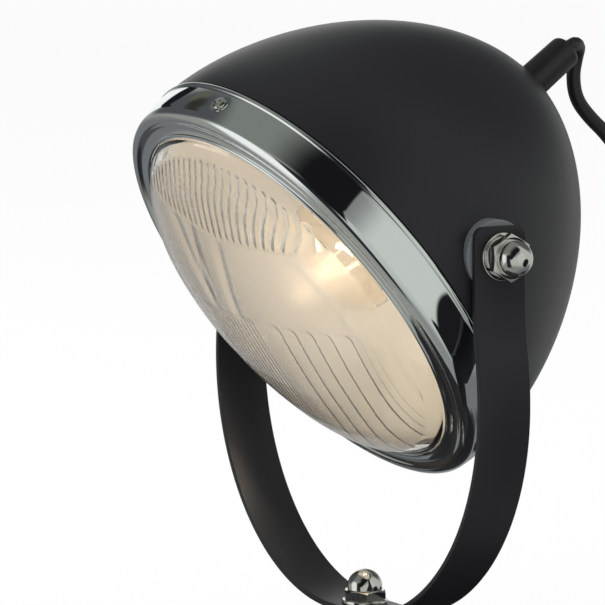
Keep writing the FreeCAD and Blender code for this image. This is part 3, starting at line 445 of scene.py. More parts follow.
# ==== Yoke
# One flat steel strap, 20 by 2 mm, bent to a bowl with a slight bulge under each pivot.
# Its edges are deburred and its ends rounded, and it is enamelled like the shell.
strap_half, strap_edge, end_corner = 10.0, 0.35, 3.5
leg_reach, bulge, pivot_height = 83.5, 3.4, 169.0
strap_top = pivot_height + 9.9
bend_height, bowl_height, flat_half = 156.0, 118.0, 7.5
bowl_bottom = glide_top + strap_thick / 2
lean = 2 * math.atan2(bulge, bend_height - bowl_height)
bend = (bend_height - bowl_height) / 2 / math.sin(lean)
half_line = [(0.0, bowl_bottom), (flat_half * 0.5, bowl_bottom)]
for step in range(73):
    angle = math.pi / 2 * (1 - step / 72)
    half_line.append((
        flat_half + (leg_reach + bulge - flat_half) * math.cos(angle),
        bowl_height - (bowl_height - bowl_bottom) * math.sin(angle)))
for step in range(1, 9):
    angle = lean * step / 8
    half_line.append((
        leg_reach + bulge - bend + bend * math.cos(angle), bowl_height + bend * math.sin(angle)))
for step in range(7, -1, -1):
    angle = lean * step / 8
    half_line.append((leg_reach + bend - bend * math.cos(angle), bend_height - bend * math.sin(angle)))
for height in (162.0, 170.0, strap_top - end_corner):
    half_line.append((leg_reach, height))
for step in range(1, 9):
    half_line.append((leg_reach, strap_top - end_corner + end_corner * math.sin(math.pi / 2 * step / 8)))
line = [Vector((-across, up)) for across, up in reversed(half_line[1:])] + [Vector(p) for p in half_line]
section = [Vector((p[0] - strap_half, p[1] - strap_thick / 2)) for p in rounded_outline([
    (0, 0, strap_edge), (2 * strap_half, 0, strap_edge), (2 * strap_half, strap_thick, strap_edge),
    (0, strap_thick, strap_edge)], 3)]
strap = bpy.data.meshes.new("yoke")
bm = bmesh.new()
rings = []
for index, point in enumerate(line):
    along = (line[min(index + 1, len(line) - 1)] - line[max(index - 1, 0)]).normalized()
    outward = Vector((along.y, -along.x))
    past = end_corner - (strap_top - point.y)
    half = strap_half - (end_corner - math.sqrt(max(end_corner ** 2 - past ** 2, 0.0)) if past > 0 else 0.0)
    ring = []
    for across, through in section:
        across = math.copysign(abs(across) - (strap_half - half), across)
        place = point + outward * through
        ring.append(bm.verts.new((place.x * MM, across * MM, place.y * MM)))
    rings.append(ring)
join_rings(bm, rings)
bm.faces.new(rings[0])
bm.faces.new(rings[-1])
bm.to_mesh(strap)
bm.free()
new_piece("yoke_bent_strap", strap, satin_enamel, "yoke", ["yoke_strap"], 50.0)

# ==== Lamp shell
# A deep bowl of pressed steel, its outline (r/R)^n + (d/L)^n = 1, enamelled satin black.
# A ring is pressed round the cord's hole, and a stepped flange at the mouth carries the rim.
head_turn = math.radians(126.2)
head = Matrix.Translation((0, 0, pivot_height * MM)) @ Matrix.Rotation(head_turn, 4, "X")
shell_radius, shell_length, shell_fullness, shell_wall = 81.8, 104.0, 1.77, 1.0
shell_widest, tip_radius = 20.8, 8.0


def group_inputs(tree, *named):
    """Gives a geometry tree its output and these named inputs, and returns each one's identifier."""
    tree.interface.new_socket("Geometry", in_out="OUTPUT", socket_type="NodeSocketGeometry")
    return {name: tree.interface.new_socket(name, in_out="INPUT", socket_type=kind).identifier
            for name, kind in named}


def evaluated_mesh(carrier):
    """The plain mesh that an object's modifiers or curve come to."""
    bpy.context.view_layer.update()
    return bpy.data.meshes.new_from_object(carrier.evaluated_get(bpy.context.evaluated_depsgraph_get()))


def grown_mesh(name, tree, identifiers, values):
    """Runs a geometry tree with these input values and returns the plain mesh that it makes."""
    carrier = bpy.data.objects.new(name + "_maker", bpy.data.meshes.new(name))
    bpy.context.scene.collection.objects.link(carrier)
    modifier = carrier.modifiers.new(name, "NODES")
    modifier.node_group = tree
    for label, value in values.items():
        modifier[identifiers[label]] = value
    mesh = evaluated_mesh(carrier)
    bpy.data.objects.remove(carrier)
    return mesh


tree = bpy.data.node_groups.new("pressed_shell", "GeometryNodeTree")
shell_numbers = ("Radius", "Length", "Fullness", "Wall", "Widest", "Tip flat", "First turn", "Last turn")
shell_inputs = group_inputs(
    tree, ("Material", "NodeSocketMaterial"), *((name, "NodeSocketFloat") for name in shell_numbers))
given = add(tree, "NodeGroupInput").outputs


def calculate(operation, first, second=0.0):
    """One step of arithmetic in the shell's tree."""
    return add(tree, "ShaderNodeMath", {0: first, 1: second}, operation=operation).outputs[0]


around, rows = 256, 112
sheet = add(tree, "GeometryNodeMeshGrid", {
    "Size X": 1.0, "Size Y": 1.0, "Vertices X": around + 1, "Vertices Y": 2 * rows + 3})
place = add(tree, "ShaderNodeSeparateXYZ", {0: add(tree, "GeometryNodeInputPosition").outputs[0]}).outputs
row = calculate("ROUND", calculate("MULTIPLY", calculate("ADD", place["Y"], 0.5), 2.0 * rows + 2.0))
up_row = calculate("DIVIDE", row, float(rows))
down_row = calculate("DIVIDE", calculate("SUBTRACT", 2.0 * rows + 1.0, row), float(rows))
part = calculate("MAXIMUM", calculate("MINIMUM", up_row, down_row), 0.0)
inside = calculate("MULTIPLY", calculate("GREATER_THAN", row, rows + 0.5),
                   calculate("LESS_THAN", row, 2.0 * rows + 1.5))
inset = calculate("MULTIPLY", inside, given["Wall"])
turn = calculate("ADD", given["First turn"], calculate(
    "MULTIPLY", part, calculate("SUBTRACT", given["Last turn"], given["First turn"])))
radius = calculate("MULTIPLY", calculate("SUBTRACT", given["Radius"], inset), calculate(
    "POWER", calculate("COSINE", turn), calculate("DIVIDE", 2.0, given["Fullness"])))
flat_share = calculate("DIVIDE", calculate("MAXIMUM", radius, given["Tip flat"]),
                       calculate("SUBTRACT", given["Radius"], inset))
rest = calculate("MAXIMUM", calculate(
    "SUBTRACT", 1.0, calculate("POWER", flat_share, given["Fullness"])), 0.0)
depth = calculate("MULTIPLY", calculate("SUBTRACT", given["Length"], inset), calculate(
    "POWER", rest, calculate("DIVIDE", 1.0, given["Fullness"])))
angle = calculate("MULTIPLY", place["X"], 2 * math.pi)
bowl_point = add(tree, "ShaderNodeCombineXYZ", {
    "X": calculate("MULTIPLY", radius, calculate("COSINE", angle)),
    "Y": calculate("MULTIPLY", radius, calculate("SINE", angle)),
    "Z": calculate("SUBTRACT", given["Widest"], depth)})
bowl = add(tree, "GeometryNodeSetPosition", {"Geometry": sheet.outputs[0], "Position": bowl_point.outputs[0]})
closed = add(tree, "GeometryNodeMergeByDistance", {"Geometry": bowl.outputs[0], "Distance": 1e-6})
real = add(tree, "GeometryNodeRealizeInstances", {"Geometry": closed.outputs[0]})
painted = add(tree, "GeometryNodeSetMaterial", {"Geometry": real.outputs[0], "Material": given["Material"]})
add(tree, "NodeGroupOutput", {"Geometry": painted.outputs[0]})
shell = grown_mesh("pressed_shell", tree, shell_inputs, {
    "Radius": shell_radius * MM, "Length": shell_length * MM, "Fullness": shell_fullness,
    "Wall": shell_wall * MM, "Widest": shell_widest * MM, "Tip flat": tip_radius * MM,
    "First turn": 0.0235, "Last turn": 1.4864, "Material": satin_enamel})


def shell_back(across):
    """Height of the bowl's outside, behind the pivot where it is negative."""
    share = (1 - (across / shell_radius) ** shell_fullness) ** (1 / shell_fullness)
    return shell_widest - shell_length * share


tip = shell_back(tip_radius)
ring_radius, ring_half, ring_rise = 14.25, 0.8, 0.2
ring_place = shell_back(ring_radius) + ring_rise
ring = []
for step in range(16):
    angle = 2 * math.pi * step / 16
    ring.append((ring_radius + ring_half * math.cos(angle), ring_place + ring_half * math.sin(angle)))
flange = rounded_outline([
    (79.6, 18.4, 0), (81.0, 18.4, 0), (81.0, 19.3, 0.2),
    (80.6, 19.3, 0), (80.6, 27.0, 0.2), (79.6, 27.0, 0.2)], 3)
trim = turned_mesh([ring, flange], 256)
bm = bmesh.new()
bm.from_mesh(shell)
bm.from_mesh(trim)
bm.transform(head)
bm.to_mesh(shell)
bm.free()
new_piece("head_pressed_shell", shell, satin_enamel, "head", ["lamp_shell"])

# ==== Pivots
# On each side a bolt comes out of the shell through a spacer, the yoke, a flat washer,
# a split spring washer and a dome nut, all nickel-plated but the grey spacer.
tree = bpy.data.node_groups.new("both_ends_of_an_axle", "GeometryNodeTree")
axle_inputs = group_inputs(
    tree, ("Piece", "NodeSocketObject"), ("Lay over", "NodeSocketFloat"), ("Material", "NodeSocketMaterial"))
given = add(tree, "NodeGroupInput").outputs
drawn = add(tree, "GeometryNodeObjectInfo", {"Object": given["Piece"]})
sides = add(tree, "GeometryNodeMeshLine", {"Count": 2, "Offset": (0.0, 0.0, 0.0)})
side = add(tree, "ShaderNodeMapRange", {
    "Value": add(tree, "GeometryNodeInputIndex").outputs[0], "To Min": 1.0, "To Max": -1.0}).outputs[0]
tilt = add(tree, "ShaderNodeCombineXYZ", {
    "Y": add(tree, "ShaderNodeMath", {0: side, 1: given["Lay over"]}, operation="MULTIPLY").outputs[0]})
pair = add(tree, "GeometryNodeInstanceOnPoints", {
    "Points": sides.outputs[0], "Instance": drawn.outputs["Geometry"], "Rotation": tilt.outputs[0]})
real = add(tree, "GeometryNodeRealizeInstances", {"Geometry": pair.outputs[0]})
plated = add(tree, "GeometryNodeSetMaterial", {"Geometry": real.outputs[0], "Material": given["Material"]})
add(tree, "NodeGroupOutput", {"Geometry": plated.outputs[0]})


def on_both_pivots(name, mesh, material, node, sharp=35.0):
    """A piece drawn up the Z axis, laid along the tilt axis on both sides of the head."""
    pattern = bpy.data.objects.new(name + "_pattern", mesh)
    bpy.context.scene.collection.objects.link(pattern)
    both = grown_mesh(name, bpy.data.node_groups["both_ends_of_an_axle"], axle_inputs, {
        "Piece": pattern, "Lay over": math.pi / 2, "Material": material})
    bpy.data.objects.remove(pattern)
    both.transform(head)
    return new_piece(name, both, material, "head", [node], sharp)


# Dull grey zinc-plated spacer: turned, so fine rings run round it, drawn half a millimetre apart.
turned_steel, tree = material_tree("turned_dull_steel")
where = add(tree, "ShaderNodeTexCoord").outputs["Object"]
along = add(tree, "ShaderNodeSeparateXYZ", {0: where}).outputs["X"]
ring_pitch = 0.5 * MM
rings_round = add(tree, "ShaderNodeMath", {
    0: along, 1: 2 * math.pi / ring_pitch}, operation="MULTIPLY").outputs[0]
wave = add(tree, "ShaderNodeMath", {0: rings_round}, operation="SINE").outputs[0]
steel = add(tree, "ShaderNodeBsdfPrincipled", {
    "Base Color": linear("#7b8084"), "Metallic": 0.3,
    "Roughness": add(tree, "ShaderNodeMapRange", {
        "Value": wave, "From Min": -1.0, "To Min": 0.42, "To Max": 0.5}).outputs[0]})
finish_surface(tree, steel)
# The spacer starts inside the shell's wall and ends a hair before the strap.
spacer_start, spacer_radius, strap_gap = 74.0, 12.0, 0.02
spacer_end = leg_reach - strap_thick / 2 - strap_gap
spacer = turned_mesh([rounded_outline([
    (bolt_hole, spacer_start, 0), (spacer_radius, spacer_start, 0), (spacer_radius, spacer_end, 0.5),
    (bolt_hole, spacer_end, 0)], 4)], 96)
on_both_pivots("pivot_grey_spacers", spacer, turned_steel, "pivot_spacers")
outer_face = leg_reach + strap_thick / 2
spring_bottom = outer_face + washer_thick
flat_washer = turned_mesh([washer_outline(washer_radius, outer_face, spring_bottom)], 96)
on_both_pivots("pivot_nickel_washers", flat_washer, nickel_plate, "pivot_flat_washers")

# The spring washer is a bar of square wire wound once, cut through where its ends meet.
spring_washer = bpy.data.meshes.new("spring_washer")
bm = bmesh.new()
spring_radius, spring_top = 6.8, spring_bottom + 2.0
wire = washer_outline(spring_radius, spring_bottom, spring_top, 0.2)
cut = math.asin(0.6 / 5.5)
turns = [math.pi + cut + (2 * math.pi - 2 * cut) * step / 72 for step in range(73)]
rings = [[bm.verts.new((across * MM * math.cos(angle), across * MM * math.sin(angle), up * MM))
          for across, up in wire] for angle in turns]
join_rings(bm, rings)
bm.faces.new(rings[0])
bm.faces.new(rings[-1])
bm.to_mesh(spring_washer)
bm.free()
on_both_pivots("pivot_spring_washers_split", spring_washer, nickel_plate,
               "pivot_spring_washers")
side_nut = dome_nut_mesh(spring_top, math.radians(23.8))
on_both_pivots("pivot_nickel_dome_nuts", side_nut, nickel_plate, "pivot_dome_nuts", 25.0)
finish_node("pivot_bolts", zinc_plate)
finish_node("pivot_saddles", zinc_plate)

# ==== Rim
# A ring of brass sheet, spun and chromium-plated: a rolled rear edge, a plain band, a steep
# shoulder, a front bead, a sunk inner face and a lip round the glass.


def through(first, middle, last, steps):
    """Points on the arc through three places, without the first."""
    a, b, c = Vector(first), Vector(middle), Vector(last)
    chord = c - a
    centre_line = b - a
    cross = 2 * (centre_line.x * chord.y - centre_line.y * chord.x)
    if abs(cross) < 1e-9:
        return [tuple(a + chord * step / steps) for step in range(1, steps + 1)]
    square_b, square_c = centre_line.length_squared, chord.length_squared
    centre = a + Vector((chord.y * square_b - centre_line.y * square_c,
                         centre_line.x * square_c - chord.x * square_b)) / cross
    start = math.atan2(a.y - centre.y, a.x - centre.x)
    half = (math.atan2(b.y - centre.y, b.x - centre.x) - start + math.pi) % (2 * math.pi) - math.pi
    rest = (math.atan2(c.y - centre.y, c.x - centre.x) - start - half + math.pi) % (2 * math.pi) - math.pi
    radius = (a - centre).length
    return [(centre.x + radius * math.cos(start + (half + rest) * step / steps),
             centre.y + radius * math.sin(start + (half + rest) * step / steps))
            for step in range(1, steps + 1)]


rim_line = [(80.9, 20.0), (81.4, 19.6)]
rim_line += through((81.4, 19.6), (82.4, 20.6), (81.9, 21.466), 10)
rim_line += [(81.7, 21.8)]
rim_line += through((81.7, 21.8), (81.8, 26.6), (81.2, 31.35), 26)
for degrees in range(10, 113, 3):
    angle = math.radians(degrees)
    rim_line.append((77.6 + 3.6 * math.cos(angle), 31.2 + 3.8 * math.sin(angle)))
rim_line += through(rim_line[-1], (74.4, 34.25), (71.8, 34.85), 14)
rim_line += through((71.8, 34.85), (70.95, 35.5), (70.2, 35.0), 8)
rim_line += [(70.2, 34.2), (71.7, 33.7), (76.9, 33.7), (79.0, 32.85), (80.4, 31.35), (80.9, 30.55)]

# Chrome plate on polished brass: a cool mirror, with a long faint wave left by the spinning tool.
chrome_plate, tree = material_tree("polished_chrome_plate")
buffing = grain(tree, 14.0, 1.0)
chrome = add(tree, "ShaderNodeBsdfPrincipled", {
    "Base Color": linear("#e9ecec"), "Metallic": 1.0, "Roughness": between(tree, buffing, 0.02, 0.05)})
finish_surface(tree, chrome, between(tree, buffing, 0.0, 2.5e-5))
rim = turned_mesh([rim_line], 720)

# The band is pressed in a little under the screw, 13 degrees off the top.
screw_turn, screw_up, band_radius = math.radians(90 - 13), 26.5, 81.8
dimple_radius, dimple_depth = 4.4, 0.4
dimple = Vector((band_radius * math.cos(screw_turn), band_radius * math.sin(screw_turn), screw_up)) * MM
for vertex in rim.vertices:
    away = (vertex.co - dimple).length / (dimple_radius * MM)
    if away < 1 and vertex.co.xy.length > (band_radius - 0.8) * MM:
        vertex.co.xy -= vertex.co.xy.normalized() * dimple_depth * MM * (1 - away ** 2) ** 2
rim.transform(head)
new_piece("rim_chromed_bezel", rim, chrome_plate, "head", ["rim_bezel"], 40.0)
finish_node("rim_screw", nickel_plate)
finish_node("rim_clip", zinc_plate)

# ==== Glass
# A domed disc of pressed glass with a smooth outside; the inside carries the light-spreading
# pattern: fine flutes above, wide hooked steps below. A thin flange sits behind the rim's lip.
columns, lines = 400, 140
pattern_edge, glass_thick = 63.3, 3.5
crown, edge_arc = 300.0, 33.0
arc_across, arc_up, crown_up = 44.62, 14.288, -248.957
crown_share = arc_across / (crown - edge_arc)


def dome_height(across, inset):
    """Height of the outer face over the pivot, or with an inset, of the inner one."""
    if across <= (crown - inset) * crown_share:
        return crown_up + math.sqrt((crown - inset) ** 2 - across ** 2)
    return arc_up + math.sqrt(max((edge_arc - inset) ** 2 - (across - arc_across) ** 2, 0.0))


def smooth(low, high, value):
    """A share from 0 at low to 1 at high, with soft ends."""
    share = min(max((value - low) / (high - low), 0.0), 1.0)
    return share * share * (3 - 2 * share)


def flute_depth(x, y):
    """How far the pressed pattern stands out of the inner face, in mm."""
    reach = math.sqrt(max(pattern_edge ** 2 - x ** 2, 0.0))
    edge = smooth(pattern_edge, pattern_edge - 0.6, math.hypot(x, y))

    # Above, narrow flutes fall straight from the rim of the pattern and then lean a little to one side.
    foot = 37.5 - (0.14 if x > 0 else 0.36) * x
    leaning = x + 0.45 * max(reach - y - 5.0, 0.0)
    rib = abs(math.sin(math.pi * leaning / 3.7))
    strength = 0.34 + 0.2 * smooth(-10.0, 5.0, x) * smooth(48.0, 36.0, x)
    depth = strength * rib ** 0.7 * smooth(foot - 0.8, foot + 0.8, y)

    # Below, wide steps lean the same way, each with a short hook at its top; fine ribs fill their left.
    top = 0.9 - 0.05 * x
    step_line = x - 0.22 * min(y, 0.0) + 2.8 * math.exp((min(y, top) - top) / 0.7)
    below = smooth(top + 0.4, top - 0.4, y)
    risers = (-1.5, 8.5, 18.0, 28.0, 38.0, 48.3, 52.2, 55.6)
    for near_side, far_side in zip(risers, risers[1:]):
        if near_side < step_line <= far_side:
            share = (step_line - near_side) / (far_side - near_side)
            deeper = 0.6 + 0.4 * smooth(0.0, -40.0, y)
            depth += 0.018 * (far_side - near_side) * share ** 1.8 * below * deeper
    depth += 0.2 * math.exp(-((step_line - 60.7) / 1.6) ** 2) * below * smooth(-1.0, -8.0, y)
    if -41.5 < step_line < -8.5:
        depth += 0.1 * abs(math.sin(math.pi * (step_line + 10.0) / 3.0)) * below

    # Between them, three wide soft streaks run down to the left.
    for high_x, high_y, low_x, low_y in (
            (-21.8, 45.0, -29.9, 10.6), (-12.4, 42.0, -31.4, 5.6), (1.1, 36.3, -16.2, 2.6)):
        share = min(max((high_y - y) / (high_y - low_y), 0.0), 1.0)
        off = x - (high_x + (low_x - high_x) * share)
        ends = smooth(high_y + 3, high_y - 4, y) * smooth(low_y - 6, low_y + 4, y)
        depth += 0.32 * math.exp(-(off / 3.0) ** 2) * ends
    return depth * edge


lens = bpy.data.meshes.new("lens")
bm = bmesh.new()
field = []
for column in range(columns + 1):
    x = -pattern_edge * math.cos(math.pi * column / columns)
    reach = math.sqrt(max(pattern_edge ** 2 - x ** 2, 0.0))
    if reach < 1e-3:
        field.append([bm.verts.new((x * MM, 0, dome_height(pattern_edge, glass_thick) * MM))] * (lines + 1))
        continue
    strip = []
    for line_step in range(lines + 1):
        y = reach * (2 * line_step / lines - 1)
        up = dome_height(math.hypot(x, y), glass_thick) - flute_depth(x, y)
        strip.append(bm.verts.new((x * MM, y * MM, up * MM)))
    field.append(strip)
for left, right in zip(field, field[1:]):
    for step in range(lines):
        corners = []
        for vert in (left[step], right[step], right[step + 1], left[step + 1]):
            if vert not in corners:
                corners.append(vert)
        if len(corners) > 2:
            bm.faces.new(corners)
outline = [strip[0] for strip in field] + [strip[-1] for strip in reversed(field[1:-1])]
profile = [(across, dome_height(across, glass_thick)) for across in (64.6, 66.1, 67.2)]
profile += [(67.2, 30.4), (76.0, 30.4), (76.0, 33.6), (69.9, 33.6), (69.9, 35.45)]
profile += [(across, dome_height(across, 0.0)) for across in (
    69.7, 69.2, 68.2, 66.6, 64.4, 61.6, 58.2, 54.2, 50.1, 44.0, 36.0, 27.0, 18.0, 9.0, 3.0)]
rings = [outline]
for across, up in profile:
    rings.append([bm.verts.new((
        vert.co.x / pattern_edge * across, vert.co.y / pattern_edge * across, up * MM)) for vert in outline])
join_rings(bm, rings)
tip_vert = bm.verts.new((0, 0, dome_height(0.0, 0.0) * MM))
for step in range(len(outline)):
    bm.faces.new((rings[-1][step], rings[-1][(step + 1) % len(outline)], tip_vert))
bm.transform(head)
bm.to_mesh(lens)
bm.free()

# Pressed soda-lime glass: clear, faintly warm in the body, fire-polished outside.
pressed_glass, tree = material_tree("pressed_soda_lime_glass")
glass = add(tree, "ShaderNodeBsdfPrincipled", {
    "Base Color": linear("#fbf7f0"), "Roughness": 0.0, "IOR": 1.52, "Transmission Weight": 1.0})
finish_surface(tree, glass, between(tree, grain(tree, 9.0, 1.0), 0.0, 1e-5))
glass_piece = new_piece("lens_pressed_glass", lens, pressed_glass, "head", ["lens_glass"], 60.0)
glass_piece.visible_shadow = False

# Inside, the flutes keep the dull skin of the pressing die, which blurs what lies behind them.
die_skin, tree = material_tree("die_pressed_glass_inside")
skin = add(tree, "ShaderNodeBsdfPrincipled", {
    "Base Color": linear("#fbf7f0"), "Roughness": between(tree, grain(tree, 2.0), 0.2, 0.26), "IOR": 1.52,
    "Transmission Weight": 1.0})
finish_surface(tree, skin)
lens.materials.append(die_skin)
inward = head.to_3x3() @ Vector((0, 0, -1))
for polygon in lens.polygons:
    local = head.inverted() @ polygon.center
    if polygon.normal.dot(inward) > 0.2 and local.xy.length < (pattern_edge + 0.1) * MM:
        polygon.material_index = 1

# ==== Reflector, gasket and clips
# A spun aluminium bowl, brightened inside, behind a rubber gasket that seats the glass.
# Four bent spring clips press bowl, gasket and glass up against the rim.
finish_node("lens_gasket", moulded_rubber)
finish_node("reflector_clips", zinc_plate)

# Brightened aluminium: a soft mirror, buffed, so it spreads the light a little. Its warm emission is painted
# light: a glow that stands in for the lit bulb's light falling on the bowl.
aluminium_with_painted_bulb_glow, tree = material_tree("brightened_aluminium_painted_bulb_glow")
buffed = grain(tree, 3.0, 2.0)
mirror = add(tree, "ShaderNodeBsdfPrincipled", {
    "Base Color": linear("#a09b93"), "Metallic": 1.0, "Roughness": between(tree, buffed, 0.42, 0.5),
    "Emission Color": linear("#dccfba"), "Emission Strength": 0.57})
finish_surface(tree, mirror)
bowl_mouth, bowl_throat, bowl_foot, bowl_curve, bowl_wall = 69.5, 27.0, -21.4, 96.03, 1.0
radii = [bowl_mouth + (bowl_throat - bowl_mouth) * step / 32 for step in range(33)]
bowl_line = [(76.0, 28.9), (70.4, 28.9), (70.4, 30.3), (69.7, 30.3), (69.5, 28.9)]
bowl_line += [(radius, bowl_foot + radius ** 2 / bowl_curve) for radius in radii[1:]]
bowl_line += [(19.5, -13.81), (19.5, -13.81 - bowl_wall)]
bowl_line += [(radius, bowl_foot - bowl_wall + radius ** 2 / bowl_curve) for radius in reversed(radii)]
bowl_line += [(76.0, 28.9 - bowl_wall)]
reflector = turned_mesh([bowl_line], 192, head)
new_piece("reflector_bright_bowl", reflector, aluminium_with_painted_bulb_glow, "head", ["reflector"])

# ==== Lampholder and bulb
# A black moulded E27 holder is clamped in the bowl by its threaded ring; the bulb is clear glass
# with a brass cap and a straight coiled filament, lit.
# Phenolic moulding: black and slightly glossy, flow marks about 4 mm long.
phenolic, tree = material_tree("moulded_phenolic")
flow = grain(tree, 4.0)
resin = add(tree, "ShaderNodeBsdfPrincipled", {
    "Base Color": linear("#1d1b1a"), "Roughness": between(tree, flow, 0.3, 0.42)})
finish_surface(tree, resin)
finish_node("lampholder_body", phenolic)
finish_node("lampholder_ring", phenolic)

# Drawn brass: yellow, lightly worn bright, with draw marks about a millimetre apart.
drawn_brass, tree = material_tree("drawn_brass")
brass = add(tree, "ShaderNodeBsdfPrincipled", {
    "Base Color": linear("#c9a86a"), "Metallic": 1.0,
    "Roughness": between(tree, grain(tree, 1.0), 0.2, 0.34)})
finish_surface(tree, brass)
for node in ("lampholder_liner", "holder_contact", "bulb_cap", "bulb_contact"):
    finish_node(node, drawn_brass)

# Blown bulb glass: thin and clear, with a slight haze.
blown_glass, tree = material_tree("blown_bulb_glass")
bulb_shader = add(tree, "ShaderNodeBsdfPrincipled", {
    "Base Color": linear("#fffaf2"), "Roughness": 0.06, "IOR": 1.5, "Transmission Weight": 1.0})
finish_surface(tree, bulb_shader)
globe_up, globe_radius, globe_wall, neck_radius, neck_end = 8.57, 22.5, 0.8, 13.0, -12.8


def globe_line(inset):
    """The globe's section from crown to neck, this far inside its outer face."""
    radius, neck = globe_radius - inset, neck_radius - inset
    sweep = math.pi / 2 + math.acos(neck / radius)
    angles = [math.pi / 2 - sweep * step / 40 for step in range(41)]
    return [(radius * math.cos(angle), globe_up + radius * math.sin(angle)) for angle in angles] + [
        (neck, neck_end)]


bulb = turned_mesh([globe_line(0.0) + globe_line(globe_wall)[::-1]], 96, head)
bulb_piece = new_piece("bulb_clear_globe", bulb, blown_glass, "head", ["bulb_glass"])
bulb_piece.visible_shadow = False

# Tungsten at working heat: it glows warm white.
hot_tungsten, tree = material_tree("hot_tungsten")
coiled = grain(tree, 0.8)
heat = add(tree, "ShaderNodeBsdfPrincipled", {
    "Base Color": linear("#8a7f70"), "Metallic": 1.0, "Roughness": between(tree, coiled, 0.4, 0.5),
    "Emission Color": linear("#fff3e2"), "Emission Strength": 190.0})
finish_surface(tree, heat)
finish_node("bulb_filament", hot_tungsten)
# On matt surfaces the room's light drowns the bulb's, so none of it is drawn there.
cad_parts["bulb_filament"].visible_diffuse = False

# ==== Cord bush, grip and leads inside the head
# A tapered PVC bush guards the cord where it leaves the shell; inside, a clamp grips the cord
# and two sleeved wires run on to the lampholder.
# Soft PVC: black with a dull sheen, extrusion bloom about 3 mm long.
soft_pvc, tree = material_tree("soft_black_pvc")
bloom = grain(tree, 3.0)
pvc = add(tree, "ShaderNodeBsdfPrincipled", {
    "Base Color": linear("#1c1c1e"), "Roughness": between(tree, bloom, 0.38, 0.5)})
finish_surface(tree, pvc)
bush = turned_mesh([rounded_outline([
    (2.7, tip - 22.4, 0), (5.9, tip - 22.4, 2.4), (6.25, tip, 0), (4.9, tip, 0), (4.9, tip + 1.0, 0),
    (7.5, tip + 1.0, 0.3), (7.5, tip + 3.5, 0.3), (5.9, tip + 3.5, 0), (5.9, tip + 7.0, 0.3),
    (2.7, tip + 7.0, 0)], 8)], 96, head)
new_piece("cord_tapered_bush", bush, soft_pvc, "head", ["cord_bush"])
for node in ("cord_lead_in", "cord_grip", "inner_wires"):
    finish_node(node, soft_pvc)

# ==== Mains cord
# Round two-core PVC cord, 5.2 mm thick and 1.9 m long. It folds over beside the bush, hangs down
# behind the lamp to the table, runs through the switch, lies in a tied coil and ends in the plug.
cord_path = [
    (0.0, 84.5, 230.9), (0.0, 86.3, 232.2), (-2.0, 89.6, 232.2), (-5.2, 92.6, 230.4),
    (-7.9, 93.3, 226.6), (-8.2, 92.2, 220.0), (-8.0, 93.6, 212.0), (-7.8, 99.2, 205.4),
    (-7.5, 107.2, 198.6), (-6.5, 115.5, 187.5), (-5.0, 123.0, 171.0), (-3.0, 129.5, 149.0),
    (-1.0, 134.0, 121.0), (1.0, 136.5, 91.0), (3.0, 139.5, 60.0), (4.5, 146.0, 34.0),
    (7.5, 157.5, 14.0), (13.5, 175.0, 3.8), (22.0, 197.0, 2.7), (35.0, 219.0, 2.7),
    (56.0, 232.0, 2.7), (84.0, 233.0, 2.7), (109.0, 221.0, 2.7), (124.0, 198.0, 2.7),
    (124.0, 172.0, 2.7), (110.0, 154.0, 3.4), (93.0, 148.6, 6.2), (76.0, 148.0, 7.5),
    (60.0, 148.0, 7.5), (44.0, 148.0, 7.5), (28.0, 148.0, 7.5),
    (12.0, 148.0, 7.5), (3.0, 147.8, 6.9), (-8.0, 146.4, 4.8), (-19.0, 145.1, 3.7), (-29.0, 144.8, 3.6),
]
# The coil has two layers of three turns; each turn passes to the next over its last five steps.
coil_x, coil_y = -40.0, 180.0
turn_radii = (35.2, 30.0, 24.8, 24.8, 30.0, 35.2)
turn_heights = (3.6, 3.6, 3.6, 8.8, 8.8, 8.8)
steps_a_turn = 16
spread = 1 / math.cos(math.pi / steps_a_turn)
for step in range(len(turn_radii) * steps_a_turn + 1):
    lap, part = divmod(step, steps_a_turn)
    lap = min(lap, len(turn_radii) - 1)
    after = min(lap + 1, len(turn_radii) - 1)
    share = smooth(11.0, 16.0, part if step < len(turn_radii) * steps_a_turn else 16.0)
    radius = (turn_radii[lap] + (turn_radii[after] - turn_radii[lap]) * share) * spread
    height = turn_heights[lap] + (turn_heights[after] - turn_heights[lap]) * share
    angle = -math.pi / 2 - 2 * math.pi * step / steps_a_turn
    cord_path.append((coil_x + radius * math.cos(angle), coil_y + radius * math.sin(angle), height))
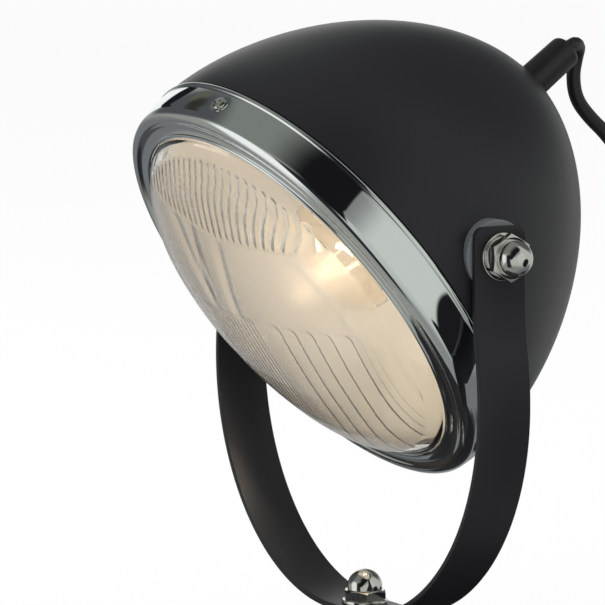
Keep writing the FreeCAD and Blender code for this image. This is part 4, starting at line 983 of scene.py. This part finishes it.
cord_path += [
    (-54.0, 144.9, 8.1), (-65.0, 147.4, 5.6), (-76.0, 154.0, 3.2),
    (-84.5, 164.5, 2.7), (-88.5, 178.0, 2.8), (-88.0, 193.0, 2.7), (-83.5, 207.5, 2.8),
    (-74.5, 220.5, 2.7), (-62.0, 230.5, 3.4), (-47.5, 237.0, 5.3), (-32.1, 239.0, 6.8),
]
cord_radius = 2.6
cord_line = bpy.data.curves.new("cord_line", "CURVE")
cord_line.dimensions = "3D"
spline = cord_line.splines.new("NURBS")
spline.points.add(len(cord_path) - 1)
for control, place in zip(spline.points, cord_path):
    control.co = (place[0] * MM, place[1] * MM, place[2] * MM, 1.0)
spline.order_u = 3
spline.use_endpoint_u = True
spline.resolution_u = 8
line_object = bpy.data.objects.new("cord_line", cord_line)
bpy.context.scene.collection.objects.link(line_object)
centre_line = [vertex.co.copy() for vertex in evaluated_mesh(line_object).vertices]
cord_line.bevel_depth = cord_radius * MM
cord_line.bevel_resolution = 4
cord_line.use_fill_caps = True
cord_mesh = evaluated_mesh(line_object)
bpy.data.objects.remove(line_object)
cord = new_piece("mains_cord", cord_mesh, soft_pvc, None, ["supply_cord", "cord_coil"], 60.0)
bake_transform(cord)

# ==== Tie round the coil
# A strip of soft black plastic, wrapped once round the coil and closed on itself.
finish_node("coil_tie", nylon)

# ==== Switch on the cord
# A two-part black ABS housing clamps the cord, held by two screws, with a rocker in the lid.
# Injection-moulded ABS: black, lightly textured by the mould, about half a millimetre.
moulded_abs, tree = material_tree("moulded_black_abs")
texture = grain(tree, 0.6)
abs_shader = add(tree, "ShaderNodeBsdfPrincipled", {
    "Base Color": linear("#1d1d1e"), "Roughness": between(tree, texture, 0.4, 0.5)})
finish_surface(tree, abs_shader, between(tree, texture, 0.0, 1.5e-5))
for node in ("switch_base", "switch_lid", "switch_rocker"):
    finish_node(node, moulded_abs)
finish_node("switch_screws", nickel_plate)

# ==== Plug
# A flat moulded two-pin plug with nickel-plated pins, lying on the table.
finish_node("plug_body", moulded_abs)
finish_node("plug_pins", nickel_plate)
